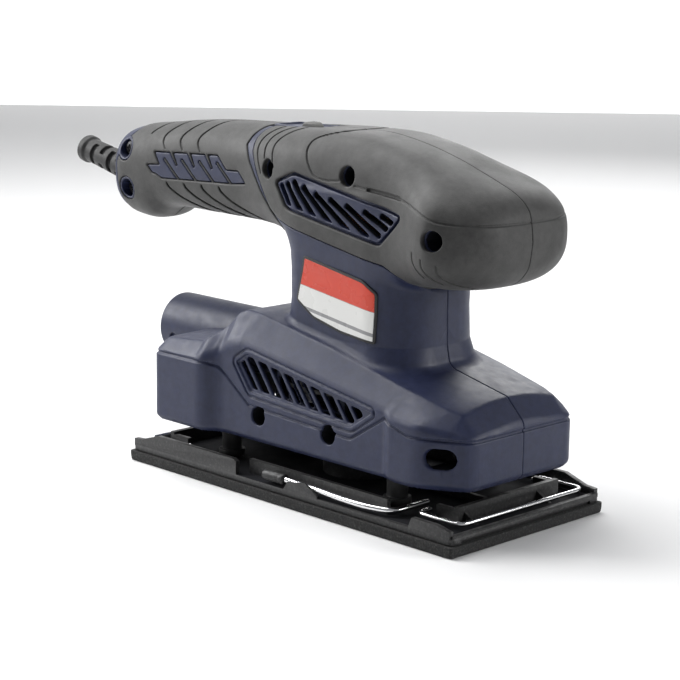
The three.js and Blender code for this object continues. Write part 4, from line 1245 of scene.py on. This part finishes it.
class Finish:
    """A material under construction. Values may be numbers, colours or another node's output."""

    def __init__(self, name):
        self.material = bpy.data.materials.new(name)
        self.material.use_nodes = True
        self.tree = self.material.node_tree
        self.shader = self.tree.nodes["Principled BSDF"]
        self.place = self.add("ShaderNodeTexCoord", {}).outputs["Object"]

    def feed(self, node, values):
        """Sets or links a node's inputs."""
        for key, value in values.items():
            if isinstance(value, bpy.types.NodeSocket):
                self.tree.links.new(value, node.inputs[key])
            else:
                node.inputs[key].default_value = value

    def add(self, kind, values, **settings):
        """A new node."""
        node = self.tree.nodes.new(kind)
        for key, value in settings.items():
            setattr(node, key, value)
        self.feed(node, values)
        return node

    def noise(self, scale, detail=3.0, rough=0.5, place=None):
        """Cloudy noise, with scale cells to the metre."""
        return self.add("ShaderNodeTexNoise", {
            "Vector": place or self.place, "Scale": scale, "Detail": detail, "Roughness": rough,
        }).outputs["Fac"]

    def cells(self, scale):
        """Distance to the middles of scattered cells."""
        return self.add("ShaderNodeTexVoronoi", {"Vector": self.place, "Scale": scale}).outputs["Distance"]

    def ramp(self, source, stops, mode="LINEAR"):
        """Colours from pairs of place and colour."""
        node = self.add("ShaderNodeValToRGB", {"Fac": source})
        node.color_ramp.interpolation = mode
        elements = node.color_ramp.elements
        while len(elements) < len(stops):
            elements.new(0.5)
        for element, (at, colour) in zip(elements, stops):
            element.position = at
            element.color = (*colour, 1.0)
        return node.outputs["Color"]

    def span(self, source, low, high, start=0.3, end=0.7):
        """The source stretched, so that start to end becomes low to high."""
        return self.add("ShaderNodeMapRange", {
            "Value": source, "From Min": start, "From Max": end, "To Min": low, "To Max": high,
        }).outputs["Result"]

    def sum(self, a, b, operation="ADD"):
        """Arithmetic on two values."""
        return self.add("ShaderNodeMath", {0: a, 1: b}, operation=operation).outputs["Value"]

    def axes(self):
        """The place's three coordinates, in metres."""
        return self.add("ShaderNodeSeparateXYZ", {"Vector": self.place}).outputs

    def waves(self, rate):
        """Even waves up the piece, this many radians to the metre."""
        return self.sum(self.sum(self.axes()["Z"], rate, "MULTIPLY"), 0.0, "SINE")

    def two_tone(self, source, colour, spread, start, end):
        """A colour that varies from a little darker to a little lighter."""
        dark = tuple(c * (1 - spread) for c in colour)
        light = tuple(c * (1 + spread) for c in colour)
        return self.ramp(source, [(start, dark), (end, light)])

    def relief(self, height, depth_mm, strength=1.0):
        """Bumps of the given depth."""
        bump = self.add("ShaderNodeBump", {"Height": height, "Distance": depth_mm * MM, "Strength": strength})
        self.feed(self.shader, {"Normal": bump.outputs["Normal"]})

    def made(self, **values):
        """Sets the shader's inputs, named with underscores for spaces, and gives the material."""
        self.feed(self.shader, {key.replace("_", " "): value for key, value in values.items()})
        return self.material


def moulded(name, colour, rough, specular=0.5):
    """Moulded plastic with a fine spark-eroded grain and slight clouding."""
    finish = Finish(name)
    finish.relief(finish.noise(1700.0, 3.0, 0.6), 0.035)
    return finish.made(
        Base_Color=finish.two_tone(finish.noise(300.0, 8.0, 0.75), colour, 0.16, 0.36, 0.64),
        Roughness=finish.span(finish.noise(230.0, 4.0), rough - 0.05, rough + 0.06),
        Specular_IOR_Level=specular,
    )


def rubber(name, colour, rough):
    """Soft matte rubber with a stippled skin and a little dust in it."""
    finish = Finish(name)
    finish.relief(finish.noise(2200.0, 3.0, 0.6), 0.06)
    return finish.made(
        Base_Color=finish.two_tone(finish.noise(240.0, 8.0, 0.75), colour, 0.22, 0.36, 0.64),
        Roughness=finish.span(finish.noise(70.0, 6.0, 0.65), rough - 0.07, rough + 0.07),
        Specular_IOR_Level=0.4,
        Sheen_Weight=0.05,
        Sheen_Roughness=0.5,
    )


def speckled_plastic(name):
    """Black glass-filled plastic, mottled with pale flecks."""
    finish = Finish(name)
    flecks = finish.noise(850.0, 5.0, 0.75)
    finish.relief(flecks, 0.03)
    return finish.made(
        Base_Color=finish.ramp(flecks, [
            (0.35, (0.006, 0.006, 0.0065)), (0.52, (0.013, 0.013, 0.0135)), (0.64, (0.034, 0.034, 0.034)),
            (0.76, (0.09, 0.09, 0.088)),
        ]),
        Roughness=finish.span(finish.noise(300.0, 3.0), 0.42, 0.6),
    )


def foam(name):
    """Closed-cell foam with open pores that catch the light."""
    finish = Finish(name)
    flecks = finish.noise(1200.0, 4.0, 0.8)
    finish.relief(finish.sum(finish.cells(1500.0), flecks, "MULTIPLY"), 0.12, 0.8)
    return finish.made(
        Base_Color=finish.ramp(flecks, [
            (0.38, (0.007, 0.007, 0.007)), (0.55, (0.022, 0.022, 0.022)), (0.7, (0.085, 0.085, 0.084)),
        ]),
        Roughness=0.92,
    )


def metal(name, colour, rough, brushed=(400.0, 4000.0, 4000.0), spread=0.08):
    """Bare metal with drawn or turned scratches."""
    finish = Finish(name)
    stretch = finish.add("ShaderNodeMapping", {"Vector": finish.place, "Scale": brushed})
    lines = finish.noise(1.0, 3.0, 0.6, stretch.outputs["Vector"])
    finish.relief(lines, 0.004)
    return finish.made(
        Base_Color=finish.two_tone(lines, colour, spread, 0.3, 0.7),
        Roughness=finish.span(lines, rough - 0.05, rough + 0.08),
        Metallic=1.0,
    )


def winding(name):
    """Lacquered copper wire, close wound, with painted shade in the grooves between turns and painted
    highlights on their crests.
    """
    finish = Finish(name)
    turns = finish.waves(9000.0)
    finish.relief(turns, 0.1, 0.6)
    return finish.made(
        # the colour follows the turns: painted shade in the grooves, painted highlight on the crests
        Base_Color=finish.ramp(finish.span(turns, 0.0, 1.0, -1.0, 1.0), [
            (0.0, (0.16, 0.05, 0.02)), (0.6, (0.62, 0.25, 0.1)), (1.0, (0.75, 0.36, 0.16)),
        ]),
        Metallic=0.9,
        Roughness=0.35,
    )


def laminated(name):
    """Stacked steel sheets, seen edge on."""
    finish = Finish(name)
    blotch = finish.noise(300.0, 4.0)
    finish.relief(finish.waves(12500.0), 0.06, 0.6)
    return finish.made(
        Base_Color=finish.ramp(blotch, [(0.3, (0.12, 0.12, 0.13)), (0.7, (0.24, 0.24, 0.25))]),
        Metallic=0.9,
        Roughness=finish.span(blotch, 0.38, 0.55),
    )


LABEL_SPLIT = (-8.8, 86.9, -0.149)        # x and z of a point on the line between the bands, and its slope


def printed_label(name, upper, lower, bar):
    """A glossy printed sticker in two plain bands, with a plain bar in the lower one."""
    finish = Finish(name)
    axes = finish.axes()
    x0, z0, slope = LABEL_SPLIT
    level = finish.sum(axes["Z"], finish.sum(axes["X"], -slope, "MULTIPLY"))
    line = (z0 - slope * x0) * MM
    fade = finish.sum(finish.sum(level, line, "SUBTRACT"), 25.0, "MULTIPLY")
    grain = finish.sum(finish.sum(finish.noise(500.0), 0.5, "SUBTRACT"), 0.004, "MULTIPLY")
    band = finish.sum(finish.sum(fade, 0.5), grain)
    bands = [(0.0, lower), (0.255, bar), (0.29, lower), (0.494, bar), (0.5, upper)]
    finish.relief(finish.noise(700.0, 2.0), 0.006)
    return finish.made(
        Base_Color=finish.ramp(band, bands, "CONSTANT"),
        Roughness=finish.span(finish.noise(120.0, 3.0), 0.22, 0.34),
        Coat_Weight=0.12,
        Coat_Roughness=0.12,
    )


NAVY = (0.0145, 0.0195, 0.052)
GREY = (0.040, 0.0397, 0.0387)

MATERIALS = {
    "casing": moulded("navy_moulded_plastic", NAVY, 0.47, specular=0.42),
    "grip_rubber": rubber("grey_grip_rubber", GREY, 0.58),
    "front_label": printed_label(
        "front_label_print", (0.56, 0.030, 0.004), (0.68, 0.68, 0.66), (0.24, 0.24, 0.245)),
    "plain_label": printed_label(
        "rating_label_print", (0.55, 0.55, 0.56), (0.62, 0.62, 0.63), (0.1, 0.1, 0.11)),
    "switch_grey": moulded("switch_grey_plastic", (0.13, 0.13, 0.122), 0.5),
    "black_rubber": rubber("boot_rubber", (0.014, 0.014, 0.0145), 0.6),
    "black_plastic": speckled_plastic("black_filled_plastic"),
    "pad_foam": foam("black_pad_foam"),
    "capacitor_yellow": moulded("capacitor_film", (0.62, 0.44, 0.06), 0.35),
    "copper": winding("wound_copper"),
    "brass": metal("pressed_brass", (0.72, 0.5, 0.2), 0.3),
    "carbon": moulded("brush_carbon", (0.02, 0.02, 0.02), 0.7),
    "bright_wire": metal("polished_wire", (0.83, 0.83, 0.84), 0.16, (2500.0, 2500.0, 2500.0), 0.04),
    "screw_steel": metal("blackened_screw", (0.035, 0.035, 0.037), 0.42),
    "core_steel": laminated("laminated_core"),
    "bearing_steel": metal("ground_steel", (0.6, 0.6, 0.62), 0.22, (300.0, 300.0, 5000.0)),
}
EDGE_BLACK = moulded("label_edge_black", (0.008, 0.008, 0.009), 0.4)
# painted shade: a near-black finish for faces deep inside the casing and on the tray's floor
PAINTED_SHADE = moulded("painted_shade_plastic", (0.006, 0.0065, 0.009), 0.85, specular=0.2)


# ------------------------------------------------------------------ putting it together

def place(piece, slot, body, *nodes, finish=None):
    """Gives a piece its finish, its CAD body and the nodes it stands for."""
    piece.data.materials.clear()
    piece.data.materials.append(finish or MATERIALS[slot])
    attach(piece, body)
    if nodes:
        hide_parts(*nodes)
    return piece


def both_sides(left, right_name, slot, left_node, right_node, deep=None):
    """Places a left piece and its mirror image. Faces marked deep get the dark finish of painted shade."""
    right = mirrored(left, right_name)
    for piece, node in ((left, left_node), (right, right_node)):
        place(piece, slot, "housing", node)
        if deep is not None:
            # faces deep in slots and hollows get painted shade
            piece.data.materials.append(PAINTED_SHADE)
            piece.data.polygons.foreach_set("material_index", deep.astype(np.int32))


def dress_cad_nodes():
    """Gives every CAD node the procedural material of its slot."""
    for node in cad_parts.values():
        slot = node.data.materials[0].name.split(".")[0]
        node.data.materials.clear()
        node.data.materials.append(MATERIALS[slot])


def add_shells():
    """Casing, rubber skins and labels."""
    casing, deep = casing_left()
    both_sides(casing, "casing_right", "casing", "housing_left", "housing_right", deep)
    both_sides(head_skin_left(), "head_skin_right", "grip_rubber", "head_grip_left", "head_grip_right")
    both_sides(sleeve_skin_left(), "sleeve_skin_right", "grip_rubber", "rear_grip_left", "rear_grip_right")
    border = label_plate("label_border", 0.0, 0.30)
    face = label_plate("label_face", 1.0, 0.42)
    rating_border = mirrored(border, "rating_border")
    rating_face = mirrored(face, "rating_face")
    place(border, "front_label", "housing", finish=EDGE_BLACK)
    place(face, "front_label", "housing", "neck_label")
    place(rating_border, "plain_label", "housing", finish=EDGE_BLACK)
    place(rating_face, "plain_label", "housing", "rating_label")


def add_fittings():
    """Switch, boot, dust port, screws and legs."""
    place(switch_bezel(), "casing", "housing", "switch_bezel")
    place(switch_knob(), "switch_grey", "switch", "switch_knob")
    place(dust_tube(), "casing", "housing", "dust_port")
    place(boot_sleeve(), "black_rubber", "housing", "strain_relief_boot")
    for node in CASING_SCREWS:
        place(casing_screw(node), "screw_steel", "housing", node)
    for i in range(1, 5):
        leg = f"rubber_leg_{i}"
        place(softened_copy(leg, f"rubber_foot_{i}", 0.4), "black_rubber", "housing", leg)


LEVER_PATH = [(-9.7, -42, 10.4), (1, -42, 10.4), (6, -41.5, 10.2), (23, -41.5, 9.8), (32, -42.2, 9.6),
              (46, -42.2, 9.4), (58.3, -39.5, 9.4), (58.3, -20, 9.4)]
BAIL_PATH = [(66, -26.6, 9.6), (66, -33.5, 9.6), (87.4, -33.5, 9.4), (87.4, 39.3, 9.4), (66, 39.3, 9.6),
             (66, 34, 9.6)]
SLEEVE_PROFILE = [(-10.7, 0.9), (-10.5, 1.5), (-10.0, 1.95), (-9.1, 2.15), (-6.2, 2.2), (-2.1, 2.2),
                  (-1.3, 2.02), (-0.8, 2.02), (-0.3, 2.2), (1.2, 2.15), (1.7, 1.8), (1.8, 1.35)]
SLEEVE_AXIS = (-42, 10.4)                 # y and z
TRAY_RIM = 6                              # the floor's painted shade starts this far in from the long sides
FLOOR_END = 15                            # and this far in from the ends
FLOOR_DEPTH = 3.5                         # the floor's height over the tray's underside


def darken_floor(tray):
    """Paints shade on the tray's floor, in from its rims, with the same dark finish as inside the casing."""
    low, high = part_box("pad_tray")
    rim = TRAY_RIM * MM
    tray.data.materials.append(PAINTED_SHADE)
    for face in tray.data.polygons:
        middle = face.center
        gets_painted_shade = abs(middle.y) < high.y - rim and abs(middle.x) < high.x - FLOOR_END * MM
        # flat floor faces in from the rims get painted shade
        if gets_painted_shade and face.normal.z > 0.9 and middle.z < low.z + FLOOR_DEPTH * MM:
            face.material_index = 1


def add_platen():
    """Tray, foam and the two wire clamps."""
    tray = place(softened_copy("pad_tray", "pad_tray_moulding"), "black_plastic", "platen", "pad_tray")
    darken_floor(tray)
    pad = place(foam_pad(), "pad_foam", "platen", "foam_pad")
    for end, turn in (("front", list), ("rear", turned_about_z)):
        lever = rod(f"{end}_lever_wire", turn(bent(LEVER_PATH, 5.0)), 1.2)
        bail = rod(f"{end}_bail_wire", turn(bent(BAIL_PATH, 4.5)), 0.9)
        place(lever, "bright_wire", f"{end}_lever", f"{end}_clamp_lever")
        place(bail, "bright_wire", f"{end}_bail", f"{end}_clamp_bail")
        grip = turned_along_x(f"{end}_lever_grip", SLEEVE_PROFILE, *SLEEVE_AXIS)
        if end == "rear":
            grip.data.transform(Matrix.Rotation(math.pi, 4, "Z"))
        place(grip, "black_plastic", f"{end}_lever", f"{end}_lever_sleeve")


add_camera()
add_studio()
dress_cad_nodes()
add_shells()
add_fittings()
add_platen()
